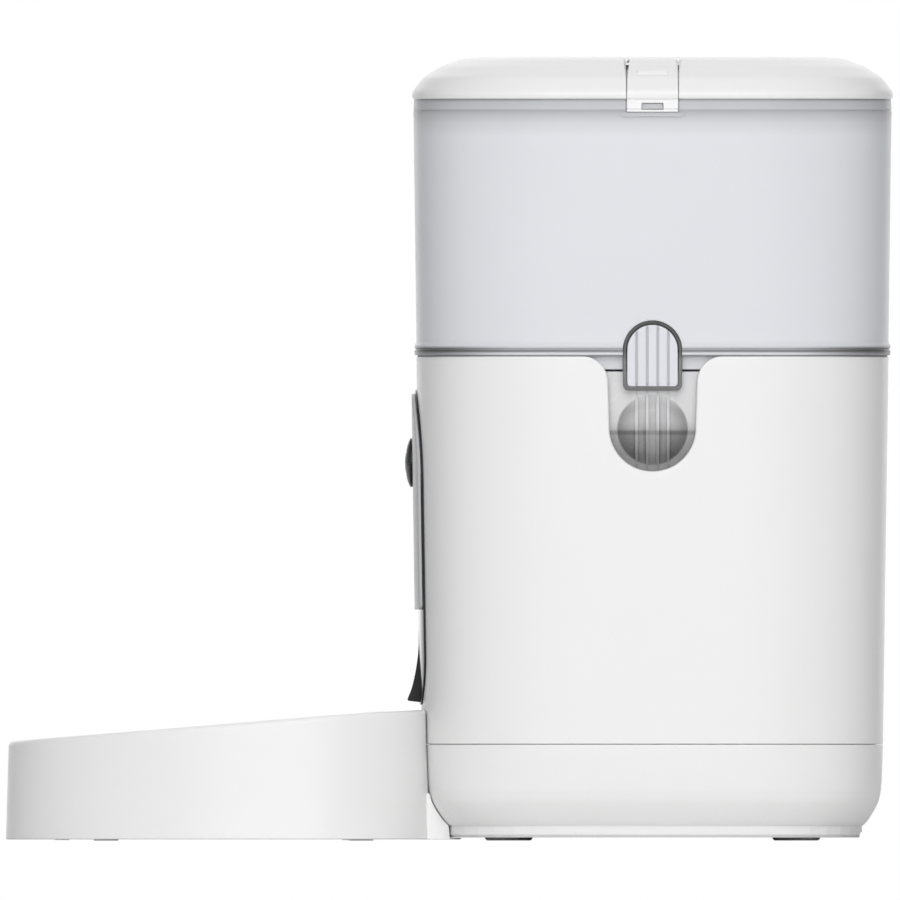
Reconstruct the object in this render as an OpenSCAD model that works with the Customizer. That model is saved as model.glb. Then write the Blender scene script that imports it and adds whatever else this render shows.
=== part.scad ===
// Automatic pet feeder: lift-off lid, clear hopper with a metering rotor, geared
// drive in the body, front camera panel and spout, and a pull-off bowl tray.
// Millimetres. +Z up, the bowl is towards -X, origin under the middle of the whole.

/* [Body] */
// length of the body, front to back, at its top edge
body_w = 188.8; // [150:0.2:240]
// width of the body, side to side, at its top edge
body_d = 188.8; // [150:0.2:240]
// height of the body's top edge above the table
body_top = 193.8; // [160:0.2:240]
// height of the seam between the upper and lower body
seam_z = 38.6; // [34:0.2:50]
// squareness of the body's plan: 2 is round, higher is squarer
plan_n = 3.8; // [2.6:0.1:6]
// wall thickness of the body shells
wall = 2.6; // [2:0.1:4]

/* [Hopper] */
// height of the hopper from the body's top edge to the lid
hopper_h = 102.8; // [60:0.2:150]
// wall thickness of the hopper
hopper_wall = 2.4; // [1.8:0.1:3.6]
// height of the band round the hopper's rim
rim_band = 4.4; // [3:0.1:8]

/* [Lid] */
// height of the lid above the hopper rim
lid_h = 16.8; // [14:0.2:24]
// width of each side latch
latch_w = 20.4; // [14:0.2:30]

/* [Release tabs] */
// width of the arched opening for a hopper release tab
arch_w = 23.6; // [18:0.2:34]
// height of that opening
arch_h = 28; // [24:0.2:36]

/* [Front panel] */
// width of the front panel
panel_w = 98; // [60:1:110]
// diameter of the camera surround
camera_d = 19.6; // [12:0.2:26]
// diameter of the feed button
feed_d = 16; // [8:0.5:20]

/* [Drive] */
// diameter over the rotor's vanes
rotor_d = 97; // [80:0.5:110]
// height of the rotor's vanes
rotor_h = 28; // [20:0.5:34]
// module of the gears
gear_m = 1.4; // [1:0.1:1.6]
// teeth of the motor pinion and of the idler's small gear
teeth_small = 12; // [12:1:14]
// teeth of the idler's large gear
teeth_idler = 30; // [24:1:34]
// teeth of the output gear
teeth_out = 36; // [30:1:40]
// diameter of the motor
motor_d = 28; // [20:0.5:34]

/* [Batteries] */
// diameter of one battery cell
cell_d = 33; // [26:0.1:33.4]
// length of one battery cell
cell_len = 61; // [40:0.5:62]

/* [Tray] */
// length of the bowl tray
tray_len = 169; // [150:0.5:210]
// width of the bowl tray
tray_w = 172; // [150:0.5:200]
// height of the tray at its front
tray_front_h = 39.6; // [34:0.2:48]
// height of the tray at its back
tray_back_h = 53; // [44:0.2:54]
// inner diameter of the food bowl
bowl_d = 130.4; // [110:0.2:140]
// depth of the food bowl
bowl_depth = 33; // [24:0.5:36]

/* [Fits] */
// radial clearance of a turning shaft
run_gap = 0.05; // [0.02:0.01:0.1]
// clearance between parts that lift or slide apart
slip_gap = 0.3; // [0.2:0.05:0.6]

/* [Hidden] */
$fn = 96;
// points round each lofted outline
seg = 72;
eps = 0.01;

half_w = body_w / 2;
half_d = body_d / 2;
rim_z = body_top + hopper_h;
lid_out = 1.8;
tray_wrap = 4.8;
body_x = (half_w - tray_wrap + tray_len - half_w - lid_out) / 2;

// lower body
plinth_z = 1.2;
shell_z = 6;
floor_top = 5;
base_taper = -2.2;
foot_r = 9.8;
foot_at = 57.5;
foot_sink = 2;

// deck, seat and rotor housing, all set by the body's height
deck_t = wall;
deck_z = seam_z + 0.4923 * (body_top - seam_z);
seat_z = deck_z + deck_t;
seat_t = 2.4;
seat_in = -5.2;
seat_top = body_top - 6.2;
cup_z = seat_z + seat_t + 7;
cup_floor = 2.6;
cup_r = rotor_d / 2 + 1.5;
cup_top = cup_z + 39;
skirt_z = body_top - 5.4;
flange_z = body_top + 0.8;
flange_top = flange_z + 3.8;
funnel_z = body_top + 22;
drop_x1 = -cup_r + 3;
drop_x2 = -20;
drop_y = 20;

// drive
gear_t = 5;
box_z = deck_z - 24;
box_t = 2.4;
idler_low = box_z + box_t + 1.1;
idler_mid = idler_low + gear_t;
out_low = idler_mid + 2.5;
out_high = out_low + gear_t;
idler_angle = 25;
motor_angle = -75;
idler_dist = gear_m * (teeth_small + teeth_out) / 2;
motor_dist = gear_m * (teeth_small + teeth_idler) / 2;
idler_at = idler_dist * [cos(idler_angle), sin(idler_angle)];
motor_at = idler_at + motor_dist * [cos(motor_angle), sin(motor_angle)];
motor_len = 34;
motor_shaft_r = 1.5;
idler_pin_r = 2;
out_stub_r = 4;
out_shaft_r = 7;
dog_z = seat_z + seat_t + 1;
dog_top = cup_z + 6.6;
dog_l = 14;
dog_t = 3.6;
rotor_z = cup_z + cup_floor + 0.6;
hub_r = 10;
stub_r = 11;
post_r = 3;
posts = [[-4, 40], [-4, -40], [62, 12], [50, -36]];

// notch, release tab and panel
notch_r = 17.3;
notch_z = body_top - 28.9;
notch_flare = 10.6;
arch_low = body_top - 13.8;
bezel_t = 1.4;
rib_xs = [-6.4, -2.1, 2.1, 6.3];
dimple_z = body_top - 29.4;
dimple_r = 26.5;
dimple_deep = 4;
panel_low = seam_z + 15.8;
panel_high = body_top - 13.4;
panel_proud = 2.2;
plate_proud = 0.8;
panel_foot = panel_low + 38;
panel_corner = 20;
panel_shoulder = 34;
camera_z = body_top - 42.6;
feed_z = camera_z - 28.4;
light_z = panel_foot + 11.6;
mic_z = panel_foot + 7.2;
feed_travel = 1.2;
feed_stem_r = 2.4;
lens_r = 4.6;
pocket_x = half_w - 16;
pocket_y = 22;
board_x = -half_w + 10.4;

// chute
chute_y = 22;
chute_t = 2;
chute_low = panel_low + 5.6;
chute_high = chute_low + 28;
chute_end = -half_w + 2.5;

// batteries
cells = 3;
cell_pitch = cell_d + 1.4;
box_in_x = cells * cell_pitch / 2;
box_mid_x = 22.2;
box_in_y = cell_len / 2 + 3;
cell_z = floor_top + 0.6 + cell_d / 2;
box_wall = 2;
cover_y = 31.8;
cover_t = 2;
cover_x1 = box_mid_x - box_in_x + 1;
tongue_out = 2;

// tray
tray_back = 62;
tray_front = tray_len - 55.6;
tray_z = 0.4;
tray_wall = 2.6;
tray_rise = (tray_back_h - tray_front_h) / (tray_len - 3);
tray_tilt = atan(tray_rise);
tray_nose = -(half_w + lid_out + body_x);
tray_x = tray_nose + tray_front;
bowl_x = tray_nose + 77.4;
bowl_top = tray_front_h + tray_rise * (bowl_x - tray_nose);
bowl_r = bowl_d / 2;
bowl_t = 0.8;
bowl_round = 8;
bowl_lip = 5;
link_y = 50;
link_z = 18.8;
link_end = body_x - half_w + 17.8;
tray_foot_r = 5;
tray_base_t = 2.6;
tray_posts = [[tray_nose + 137.4, 66], [tray_nose + 22.4, 49]];

// latch
latch_in = -18;
latch_z = rim_z + 13.8;
knuckle_r = 2;
latch_pin_r = 0.8;

// battery, inlet and button places on the back
inlet_y = 30;
inlet_z = 24;
inlet_x = half_w - 5;

white = [0.94, 0.94, 0.93];
clear_grey = [0.86, 0.88, 0.92, 0.45];
smoke = [0.45, 0.46, 0.48, 0.6];
black = [0.06, 0.06, 0.07];
steel = [0.75, 0.76, 0.78];
green = [0.05, 0.32, 0.16];
grey = [0.55, 0.56, 0.58];

// ---- outlines and lofts ----

// one outline: half length, half width, squareness, height
function outline(o, z) = [half_w + o, half_d + o, plan_n, z];
function circle_at(r, z) = [r, r, 2, z];
function body_out(z) = base_taper * (body_top - 1 - z) / (body_top - 1 - seam_z);
// middle of the front panel's face at height z
function panel_x(z) = -half_w - body_out(z) - panel_proud;
function spoke(a, q) =
    pow(pow(abs(cos(a)) / q[0], q[2]) + pow(abs(sin(a)) / q[1], q[2]), -1 / q[2]);
function outline_points(q) = [for (i = [0 : seg - 1])
    let (a = 360 * i / seg, r = spoke(a, q)) [r * cos(a), r * sin(a), q[3]]];

// skin over a list of outlines; a loop closes on itself, else both ends are capped
module loft(rings, loop = false) {
    count = len(rings);
    last = loop ? count - 1 : count - 2;
    points = [for (q = rings) each outline_points(q)];
    sides = [for (j = [0 : last]) for (i = [0 : seg - 1])
        let (k = (i + 1) % seg, up = ((j + 1) % count) * seg, low = j * seg)
        each [[low + i, up + i, up + k], [low + i, up + k, low + k]]];
    ends = loop ? [] : [[for (i = [0 : seg - 1]) i],
        [for (i = [seg - 1 : -1 : 0]) (count - 1) * seg + i]];
    polyhedron(points = points, faces = concat(sides, ends), convexity = 6);
}

module at_body() {
    translate([body_x, 0, 0]) children();
}

module both_sides() {
    children();
    mirror([0, 1, 0]) children();
}

module along_x(x1, x2, r) {
    translate([x1, 0, 0]) rotate([0, 90, 0]) cylinder(h = x2 - x1, r = r);
}

module block(x1, x2, y1, y2, z1, z2) {
    translate([x1, y1, z1]) cube([x2 - x1, y2 - y1, z2 - z1]);
}

// drawing in X and Z, extruded in Y from y1 to y2
module slab_y(y1, y2) {
    translate([0, y2, 0]) rotate([90, 0, 0]) linear_extrude(y2 - y1) children();
}

// drawing in Y and Z, extruded in X from x1 to x2
module slab_x(x1, x2) {
    translate([x1, 0, 0]) rotate([90, 0, 90]) linear_extrude(x2 - x1) children();
}

// ---- lid ----

// outer profile of the lid: offset from the body's outline, share of the lid's height
lid_profile = [[1.6, 0], [lid_out, 0.12], [1.2, 0.21], [-0.2, 0.32], [-1.8, 0.44],
    [-3.4, 0.535], [-6.6, 0.655], [-9.8, 0.774], [-13, 0.845], [-16.2, 0.917],
    [-19.4, 0.964], [-25.4, 0.99], [-29, 1], [-33, 0.985], [-36, 0.9], [-39, 0.85]];
lid_in_top = rim_z + 0.7 * lid_h;
lip_z = rim_z - 6.6;
groove_z1 = lip_z + 1.6;
groove_z2 = lip_z + 4.2;

function lid_at(p) = outline(p[0], rim_z + p[1] * lid_h);

// section of a latch in Y and Z, grown by g on its inner side
module latch_section(g) {
    polygon([[latch_in - g, latch_z + knuckle_r + 0.2], [-16.2, rim_z + 0.917 * lid_h],
        [-13, rim_z + 0.845 * lid_h], [-9.8, rim_z + 0.774 * lid_h],
        [-6.6, rim_z + 0.655 * lid_h], [-3.4, rim_z + 0.535 * lid_h],
        [-1.8, rim_z + 0.44 * lid_h], [-0.2, rim_z + 0.32 * lid_h],
        [1.2, rim_z + 0.21 * lid_h], [1.7, rim_z + 0.12 * lid_h],
        [1.7, rim_z - 5.2], [0.1 - g, rim_z - 5.2], [0.1 - g, rim_z + 0.2],
        [-0.6 - g, rim_z + 2.4], [-2.2 - g, rim_z + 5 - g], [-4.6 - g, rim_z + 7.4 - g],
        [-8 - g, rim_z + 9.6 - g], [-12 - g, rim_z + 11.4 - g],
        [latch_in - g, latch_z - 1.8 - g]]);
}

// room for a latch: its section opened upwards and outwards
module latch_room() {
    g = 0.4;
    polygon([[latch_in - knuckle_r - 0.6, rim_z + 2 * lid_h], [8, rim_z + 2 * lid_h],
        [8, rim_z - 1], [0.1 - g, rim_z - 1], [0.1 - g, rim_z + 0.2],
        [-0.6 - g, rim_z + 2.4 - g], [-2.2 - g, rim_z + 5 - g], [-4.6 - g, rim_z + 7.4 - g],
        [-8 - g, rim_z + 9.6 - g], [-12 - g, rim_z + 11.4 - g],
        [latch_in, latch_z - knuckle_r - g], [latch_in - knuckle_r - 0.6, latch_z - knuckle_r - g]]);
}

module lid() {
    color(white) at_body() difference() {
        union() {
            loft(concat([outline(-20, lid_in_top), outline(-12, rim_z + 9.4),
                outline(-7, rim_z + 6.9), outline(-4.6, rim_z + 3.4), outline(-4.6, lip_z),
                outline(-2.2, lip_z), outline(-2.2, groove_z1), outline(-3.4, groove_z1),
                outline(-3.4, groove_z2), outline(-2.2, groove_z2), outline(-2.2, rim_z)],
                [for (p = lid_profile) lid_at(p)]));
            both_sides() block(-latch_w / 2 - 3, latch_w / 2 + 3, half_d - 24, half_d - 10,
                rim_z + 8.8, lid_in_top + 1);
        }
        both_sides() translate([0, half_d, 0])
            slab_x(-latch_w / 2 - 0.4, latch_w / 2 + 0.4) latch_room();
        both_sides() translate([0, half_d + latch_in, latch_z])
            along_x(-latch_w / 2 - 2.8, latch_w / 2 + 2.8, latch_pin_r);
    }
}

module lid_seal() {
    color(grey) at_body() loft([outline(-3.4, groove_z1), outline(-1.9, groove_z1),
        outline(-1.7, lip_z + 2.9), outline(-1.9, groove_z2),
        outline(-3.4, groove_z2)], loop = true);
}

module latch() {
    translate([0, half_d, 0]) difference() {
        union() {
            slab_x(-latch_w / 2, latch_w / 2) latch_section(0);
            translate([0, latch_in, latch_z]) along_x(-latch_w / 2, latch_w / 2, knuckle_r);
            slab_x(-6.4, 6.4) polygon([[-5.6, rim_z + 10.8], [-4.2, rim_z + 11],
                [-3.2, rim_z + 9.6], [-5, rim_z + 9.4]]);
        }
        translate([0, latch_in, latch_z])
            along_x(-latch_w / 2 - 1, latch_w / 2 + 1, latch_pin_r + run_gap);
        block(-4.6, 4.6, -1, 3, rim_z - 4.4, rim_z - 1.6);
        block(-4.6, 4.6, -1, 1.05, rim_z - 6, rim_z - 4);
    }
}

module latch_left() {
    color(white) at_body() latch();
}

module latch_right() {
    color(white) at_body() mirror([0, 1, 0]) latch();
}

module latch_pins() {
    color(steel) at_body() both_sides() translate([0, half_d + latch_in, latch_z])
        along_x(-latch_w / 2 - 2.8, latch_w / 2 + 2.8, latch_pin_r);
}

desiccant_r = 30;
desiccant_low = lid_in_top - 13;

module desiccant_holder() {
    color(white) at_body() difference() {
        translate([0, 0, desiccant_low]) cylinder(h = 13, r = desiccant_r);
        translate([0, 0, desiccant_low - 1]) cylinder(h = 14, r = desiccant_r - 2);
    }
}

module desiccant_pack() {
    color([0.85, 0.85, 0.8]) at_body()
        translate([0, 0, desiccant_low + 3]) cylinder(h = 10, r = desiccant_r - 4);
}

module desiccant_cover() {
    r = desiccant_r - 2 - 0.1;
    color(white) at_body() difference() {
        union() {
            translate([0, 0, desiccant_low]) cylinder(h = 2, r = r);
            translate([0, 0, desiccant_low - 3]) block(-14, 14, -1.5, 1.5, 0, 3 + eps);
        }
        for (ring = [[9, 6], [16, 12], [22.5, 16]]) for (i = [0 : ring[1] - 1])
            rotate(360 * (i + 0.5) / ring[1]) translate([ring[0], 0, desiccant_low - 1])
                cylinder(h = 4, r = 1.5, $fn = 24);
    }
}

// ---- hopper ----

module arch_2d(w, low, high, corner) {
    r = w / 2;
    translate([0, high - r]) circle(r = r);
    translate([-r, low + corner]) square([w, high - r - low - corner]);
    translate([-r + corner, low]) square([w - 2 * corner, corner + eps]);
    for (s = [-1, 1]) translate([s * (r - corner), low + corner]) circle(r = corner);
}

module hopper() {
    t = hopper_wall;
    color(clear_grey) at_body() difference() {
        union() {
            loft([outline(-5.4, skirt_z), outline(-3.4, skirt_z), outline(-3.4, flange_z),
                outline(0.8, flange_z), outline(0.8, flange_top), outline(0, flange_top + 1.2),
                outline(1.2, rim_z - rim_band - 3.2), outline(1.6, rim_z - rim_band),
                outline(1.6, rim_z), outline(-1.4, rim_z), outline(1.2 - t, rim_z - rim_band - 3.2),
                outline(-t, funnel_z), [74.5, 74.5, 3, (funnel_z + cup_top) / 2],
                circle_at(cup_r, cup_top), circle_at(cup_r, cup_z), circle_at(cup_r + 3, cup_z),
                circle_at(cup_r + 3, cup_top - 1), [77.5, 77.5, 3, (funnel_z + cup_top) / 2 - 2.4],
                outline(-t - 0.2, funnel_z - 4.8), outline(-t - 0.2, flange_top - 0.4),
                outline(-5.4, flange_top - 2.4)], loop = true);
            translate([0, 0, cup_z]) cylinder(h = cup_floor, r = cup_r + 1.5);
            both_sides() block(-latch_w / 2 - 2.8, latch_w / 2 + 2.8, half_d - 0.5,
                half_d + lid_out, rim_z - 7, rim_z - 5.4);
        }
        translate([0, 0, cup_z - 1]) cylinder(h = cup_floor + 2, r = stub_r + 2 * run_gap);
        block(drop_x1, drop_x2, -drop_y, drop_y, cup_z - 1, cup_z + cup_floor + 1);
        both_sides() slab_y(half_d - 6.4, half_d + 3)
            arch_2d(arch_w + 0.2, arch_low - 0.1, arch_low + arch_h + 0.1, 2.4);
        both_sides() latch_recess();
    }
}

// recess in the rim for a latch, round the nub that the latch snaps over
module latch_recess() {
    difference() {
        block(-latch_w / 2 - 0.6, latch_w / 2 + 0.6, half_d - 0.2, half_d + 4,
            rim_z - 5.4, rim_z + 1);
        block(-4, 4, half_d - 1, half_d + 0.9, rim_z - 4, rim_z - 2);
    }
}

module hopper_gasket() {
    color(grey) at_body() difference() {
        loft([outline(-3, body_top), outline(-0.5, body_top),
            outline(-0.5, flange_z), outline(-3, flange_z)], loop = true);
        both_sides() slab_y(half_d - 6.4, half_d + 3)
            arch_2d(arch_w + 0.2, arch_low - 0.1, arch_low + arch_h + 0.1, 2.4);
    }
}

module release_bezels() {
    color(black) at_body() both_sides() difference() {
        slab_y(half_d - 2.6, half_d + 0.4) arch_2d(arch_w, arch_low, arch_low + arch_h, 2.4);
        slab_y(half_d - 4, half_d + 2) arch_2d(arch_w - 2 * bezel_t, arch_low + bezel_t,
            arch_low + arch_h - bezel_t, 1.6);
    }
}

module release_tab() {
    w = arch_w - 2 * bezel_t - 2 * slip_gap;
    low = arch_low + bezel_t + slip_gap;
    high = arch_low + arch_h - bezel_t - slip_gap;
    slab_y(half_d - 2.4, half_d + 0.1) arch_2d(w, low, high, 1.4);
    for (x = rib_xs) slab_y(half_d, half_d + 0.5)
        translate([x - 0.5, low + 1]) square([1, high - low - 1.2 - w / 2 + sqrt(w * w / 4 - x * x) - 1]);
    block(-1.5, 1.5, half_d - 6, half_d - 2.3, body_top + 3, body_top + 5);
}

module release_tab_left() {
    color(clear_grey) at_body() release_tab();
}

module release_tab_right() {
    color(clear_grey) at_body() mirror([0, 1, 0]) release_tab();
}

// ---- rotor and stirrer ----

module rotor() {
    color([0.3, 0.3, 0.32]) at_body() difference() {
        union() {
            translate([0, 0, rotor_z]) cylinder(h = rotor_h, r = hub_r);
            translate([0, 0, cup_z - 1]) cylinder(h = rotor_z - cup_z + 1 + eps, r = stub_r);
            for (i = [0 : 5]) rotate(60 * i + 30)
                block(hub_r - 1, rotor_d / 2, -1.2, 1.2, rotor_z, rotor_z + rotor_h);
        }
        for (a = [0, 90]) rotate(a) block(-dog_l / 2 - 0.3, dog_l / 2 + 0.3,
            -dog_t / 2 - 0.3, dog_t / 2 + 0.3, cup_z - 2, dog_top + 0.5);
        translate([0, 0, rotor_z + rotor_h - 8]) cylinder(h = 9, r = 4);
    }
}

module agitator() {
    low = rotor_z + rotor_h;
    color([0.85, 0.86, 0.88]) at_body() {
        translate([0, 0, low - 8]) cylinder(h = 9, r = 4);
        translate([0, 0, low]) cylinder(h = 12, r = 6);
        for (a = [20, 200]) rotate(a) translate([0, 0, low + 8]) along_x(0, 34, 2.4);
        for (a = [20, 200]) rotate(a) translate([34, 0, low + 8]) sphere(r = 3.4);
    }
}

// ---- body shells ----

module notch_2d() {
    translate([0, notch_z]) circle(r = notch_r);
    translate([-notch_r, notch_z]) square([2 * notch_r, body_top - notch_z + 5]);
    difference() {
        translate([-notch_r - notch_flare, body_top - notch_flare])
            square([2 * (notch_r + notch_flare), notch_flare + 5]);
        for (s = [-1, 1]) translate([s * (notch_r + notch_flare), body_top - notch_flare])
            circle(r = notch_flare);
    }
}

// face of the front panel in Y and Z: large round corners above, smaller ones at the foot
module panel_2d(inset, low, high) {
    w = panel_w / 2 - inset;
    shoulder_y = panel_w / 2 - panel_shoulder;
    foot_y = panel_w / 2 - panel_corner;
    for (s = [-1, 1]) {
        translate([s * shoulder_y, high - panel_shoulder]) circle(r = panel_shoulder - inset);
        translate([s * foot_y, low + panel_corner]) circle(r = panel_corner - inset);
    }
    translate([-shoulder_y, high - panel_shoulder])
        square([2 * shoulder_y, panel_shoulder - inset]);
    translate([-w, low + panel_corner]) square([2 * w, high - panel_shoulder - low - panel_corner]);
    translate([-foot_y, low + inset]) square([2 * foot_y, panel_corner - inset + eps]);
}

boss_in = 28.4;

// the four corner screw places, each turned so that +X runs out along its diagonal
module at_corners() {
    for (s = [-1, 1]) for (u = [-1, 1])
        translate([s * (half_w - boss_in), u * (half_d - boss_in), 0])
            rotate(atan2(u, s)) children();
}

module corner_bosses() {
    at_corners() {
        translate([0, 0, deck_z - 30]) cylinder(h = 30, r = 4.2);
        block(0, 14, -1.2, 1.2, deck_z - 30, deck_z);
    }
}

module boss_holes(z1, z2, r) {
    at_corners() translate([0, 0, z1]) cylinder(h = z2 - z1, r = r);
}

board_z1 = seam_z + 8;
board_z2 = board_z1 + 48;

module upper_body() {
    color(white) at_body() difference() {
        union() {
            loft([outline(base_taper, seam_z), outline(0, body_top - 1), outline(-0.6, body_top),
                outline(-wall - 0.2, body_top), outline(base_taper - wall, seam_z)], loop = true);
            corner_bosses();
            for (y = [-26, 26]) for (z = [board_z1 + 4, board_z2 - 4]) translate([0, y, z])
                along_x(half_w - 12.4, half_w - 3.6, 2.5);
        }
        slab_y(-half_d - 5, half_d + 5) notch_2d();
        boss_holes(deck_z - 16, deck_z + 1, 1.3);
        block(-half_w - 5, -half_w + 12, -chute_y - chute_t - 0.3, chute_y + chute_t + 0.3,
            chute_low - chute_t - 0.3, chute_high + chute_t + 1.6);
        translate([0, 0, camera_z]) along_x(-half_w - 5, -half_w + 12, camera_d / 2 + 0.2);
        translate([0, 0, feed_z]) along_x(-half_w - 5, -half_w + 12, feed_stem_r + 0.4);
        translate([0, 0, light_z]) along_x(-half_w - 5, -half_w + 12, 1.4);
        translate([0, 0, mic_z]) along_x(-half_w - 5, -half_w + 12, 0.9);
    }
}

// outside of the lower body: offset and height of each ring
lower_profile = [[-10.2, 6], [-8.6, 7.6], [-7, 10], [-5.4, 12.6], [-3.8, 16], [-3, 20]];

module lower_body() {
    color(white) at_body() difference() {
        union() {
            loft(concat([for (p = lower_profile) outline(p[0], p[1])],
                [outline(base_taper, seam_z - 0.4), outline(-wall - 2.5, seam_z - 0.4),
                outline(-wall - 2.5, seam_z + 3.6), outline(-wall - 4.1, seam_z + 3.6),
                outline(-wall - 4.1, seam_z - 5), outline(-wall - 2.1, seam_z - 7.6)],
                [for (i = [5 : -1 : 0]) outline(lower_profile[i][0] - wall, lower_profile[i][1]
                    + (i == 0 ? 0 : 1))]), loop = true);
            for (s = [-1, 1]) for (u = [-1, 1]) {
                translate([s * screw_x, u * screw_y, floor_top]) cylinder(h = 19, r = 4);
                block(min(s * screw_x, s * (screw_x + 12)), max(s * screw_x, s * (screw_x + 12)),
                    u * screw_y - 1, u * screw_y + 1, 13.6, 24);
            }
        }
        for (s = [-1, 1]) for (u = [-1, 1]) translate([s * screw_x, u * screw_y, floor_top - 1])
            cylinder(h = 16, r = 1.3);
        translate([0, inlet_y, inlet_z]) along_x(half_w - 20, half_w + 5, 5.4);
        translate([0, -inlet_y, inlet_z]) along_x(half_w - 20, half_w + 5, 2.9);
    }
}

screw_x = half_w - 20.4;
screw_y = 44;

module base_plate() {
    color([0.88, 0.88, 0.88]) at_body() difference() {
        loft([outline(-11.8, plinth_z), outline(-10.6, plinth_z + 1.2), outline(-10.6, shell_z),
            outline(-14, shell_z), outline(-14, floor_top)]);
        for (s = [-1, 1]) for (u = [-1, 1]) {
            translate([s * foot_at, u * foot_at, plinth_z - 1])
                cylinder(h = foot_sink + 1, r = foot_r);
            translate([s * screw_x, u * screw_y, 0]) cylinder(h = 10, r = 1.5);
            translate([s * screw_x, u * screw_y, 0]) cylinder(h = plinth_z + 2.2, r = 3.3);
        }
        cover_room();
        translate([speaker_x, 0, plinth_z - 1]) {
            cylinder(h = 8, r = 1.5, $fn = 24);
            for (a = [0 : 60 : 300]) rotate(a) translate([7, 0, 0]) cylinder(h = 8, r = 1.5, $fn = 24);
        }
    }
}

speaker_x = -half_w + 36;

module cover_room() {
    block(cover_x1 - 0.2, half_w + 5, -cover_y - 0.2, cover_y + 0.2,
        plinth_z - 1, plinth_z + cover_t + 0.1);
    block(cover_x1 - 0.2, half_w + 5, -cover_y - tongue_out - 0.2, cover_y + tongue_out + 0.2,
        plinth_z + 0.6, plinth_z + 1.7);
    block(cover_x1 + 2, box_mid_x + box_in_x - 3, -cover_y + 1, cover_y - 1,
        plinth_z, shell_z + 1);
}

module battery_cover() {
    color([0.88, 0.88, 0.88]) at_body() difference() {
        union() {
            block(cover_x1, half_w - 11.6, -cover_y, cover_y, plinth_z, plinth_z + cover_t);
            block(cover_x1, half_w - 13, -cover_y - tongue_out, cover_y + tongue_out,
                plinth_z + 0.7, plinth_z + 1.6);
        }
        for (i = [0 : 4]) block(box_mid_x + box_in_x - 12 + 3 * i, box_mid_x + box_in_x - 10.8 + 3 * i,
            -12, 12, plinth_z - 1, plinth_z + 0.6);
    }
}

module rubber_feet() {
    color(grey) at_body() for (s = [-1, 1]) for (u = [-1, 1])
        translate([s * foot_at, u * foot_at, 0]) {
            cylinder(h = 0.8, r1 = foot_r - 1, r2 = foot_r - 0.2);
            translate([0, 0, 0.8]) cylinder(h = plinth_z + foot_sink - 0.8, r = foot_r - 0.2);
        }
}

module screw(head_z, len, head_r = 3, shank_r = 1.3) {
    translate([0, 0, head_z]) difference() {
        union() {
            cylinder(h = 1.8, r = head_r);
            cylinder(h = len, r = shank_r);
        }
        for (a = [0, 90]) rotate(a) block(-1.6, 1.6, -0.4, 0.4, -1, 1);
    }
}

module base_screws() {
    color(steel) at_body() for (s = [-1, 1]) for (u = [-1, 1])
        translate([s * screw_x, u * screw_y, 0]) screw(plinth_z + 0.4, 14);
}

// ---- batteries ----

module battery_box() {
    z2 = cell_z + cell_d / 2 + 0.6;
    color([0.2, 0.2, 0.22]) at_body() difference() {
        block(box_mid_x - box_in_x - box_wall, box_mid_x + box_in_x + box_wall,
            -box_in_y - box_wall, box_in_y + box_wall, floor_top, z2 + box_wall);
        block(box_mid_x - box_in_x, box_mid_x + box_in_x, -box_in_y, box_in_y, 0, z2);
    }
}

module battery_cells() {
    for (i = [0 : cells - 1]) at_body()
        translate([box_mid_x + (i - 1) * cell_pitch, 0, cell_z]) rotate([90, 0, 0]) {
            color([0.16, 0.17, 0.2]) cylinder(h = cell_len - 1.5, r = cell_d / 2, center = true);
            color(steel) translate([0, 0, (cell_len - 1.5) / 2 - eps])
                cylinder(h = 1.5 + eps, r = 4.6);
        }
}

module battery_contacts() {
    color(steel) at_body() for (s = [-1, 1]) for (i = [0 : cells - 1])
        translate([box_mid_x + (i - 1) * cell_pitch, s * (box_in_y - 0.25), cell_z])
            block(-6, 6, -0.25, 0.25, -6, 6);
}

// ---- deck, seat and chute ----

module drop_hole(z1, z2, grow = 0) {
    block(drop_x1 - grow, drop_x2 + grow, -drop_y - grow, drop_y + grow, z1, z2);
}

module deck() {
    color([0.8, 0.8, 0.82]) at_body() difference() {
        union() {
            loft([outline(-4.4, deck_z), outline(-4.4, deck_z + deck_t)]);
            for (p = posts) translate([p[0], p[1], box_z + box_t])
                cylinder(h = deck_z - box_z - box_t + eps, r = post_r);
        }
        drop_hole(deck_z - 1, deck_z + deck_t + 1);
        boss_holes(deck_z - 1, deck_z + deck_t + 1, 1.6);
        translate([0, 0, deck_z - 1]) cylinder(h = deck_t + 2, r = out_shaft_r + 2 * run_gap);
    }
}

module deck_screws() {
    color(steel) at_body() at_corners()
        translate([0, 0, 2 * seat_z + 2 * seat_t + 1.8]) mirror([0, 0, 1])
            screw(seat_z + seat_t, 20);
}

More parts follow.
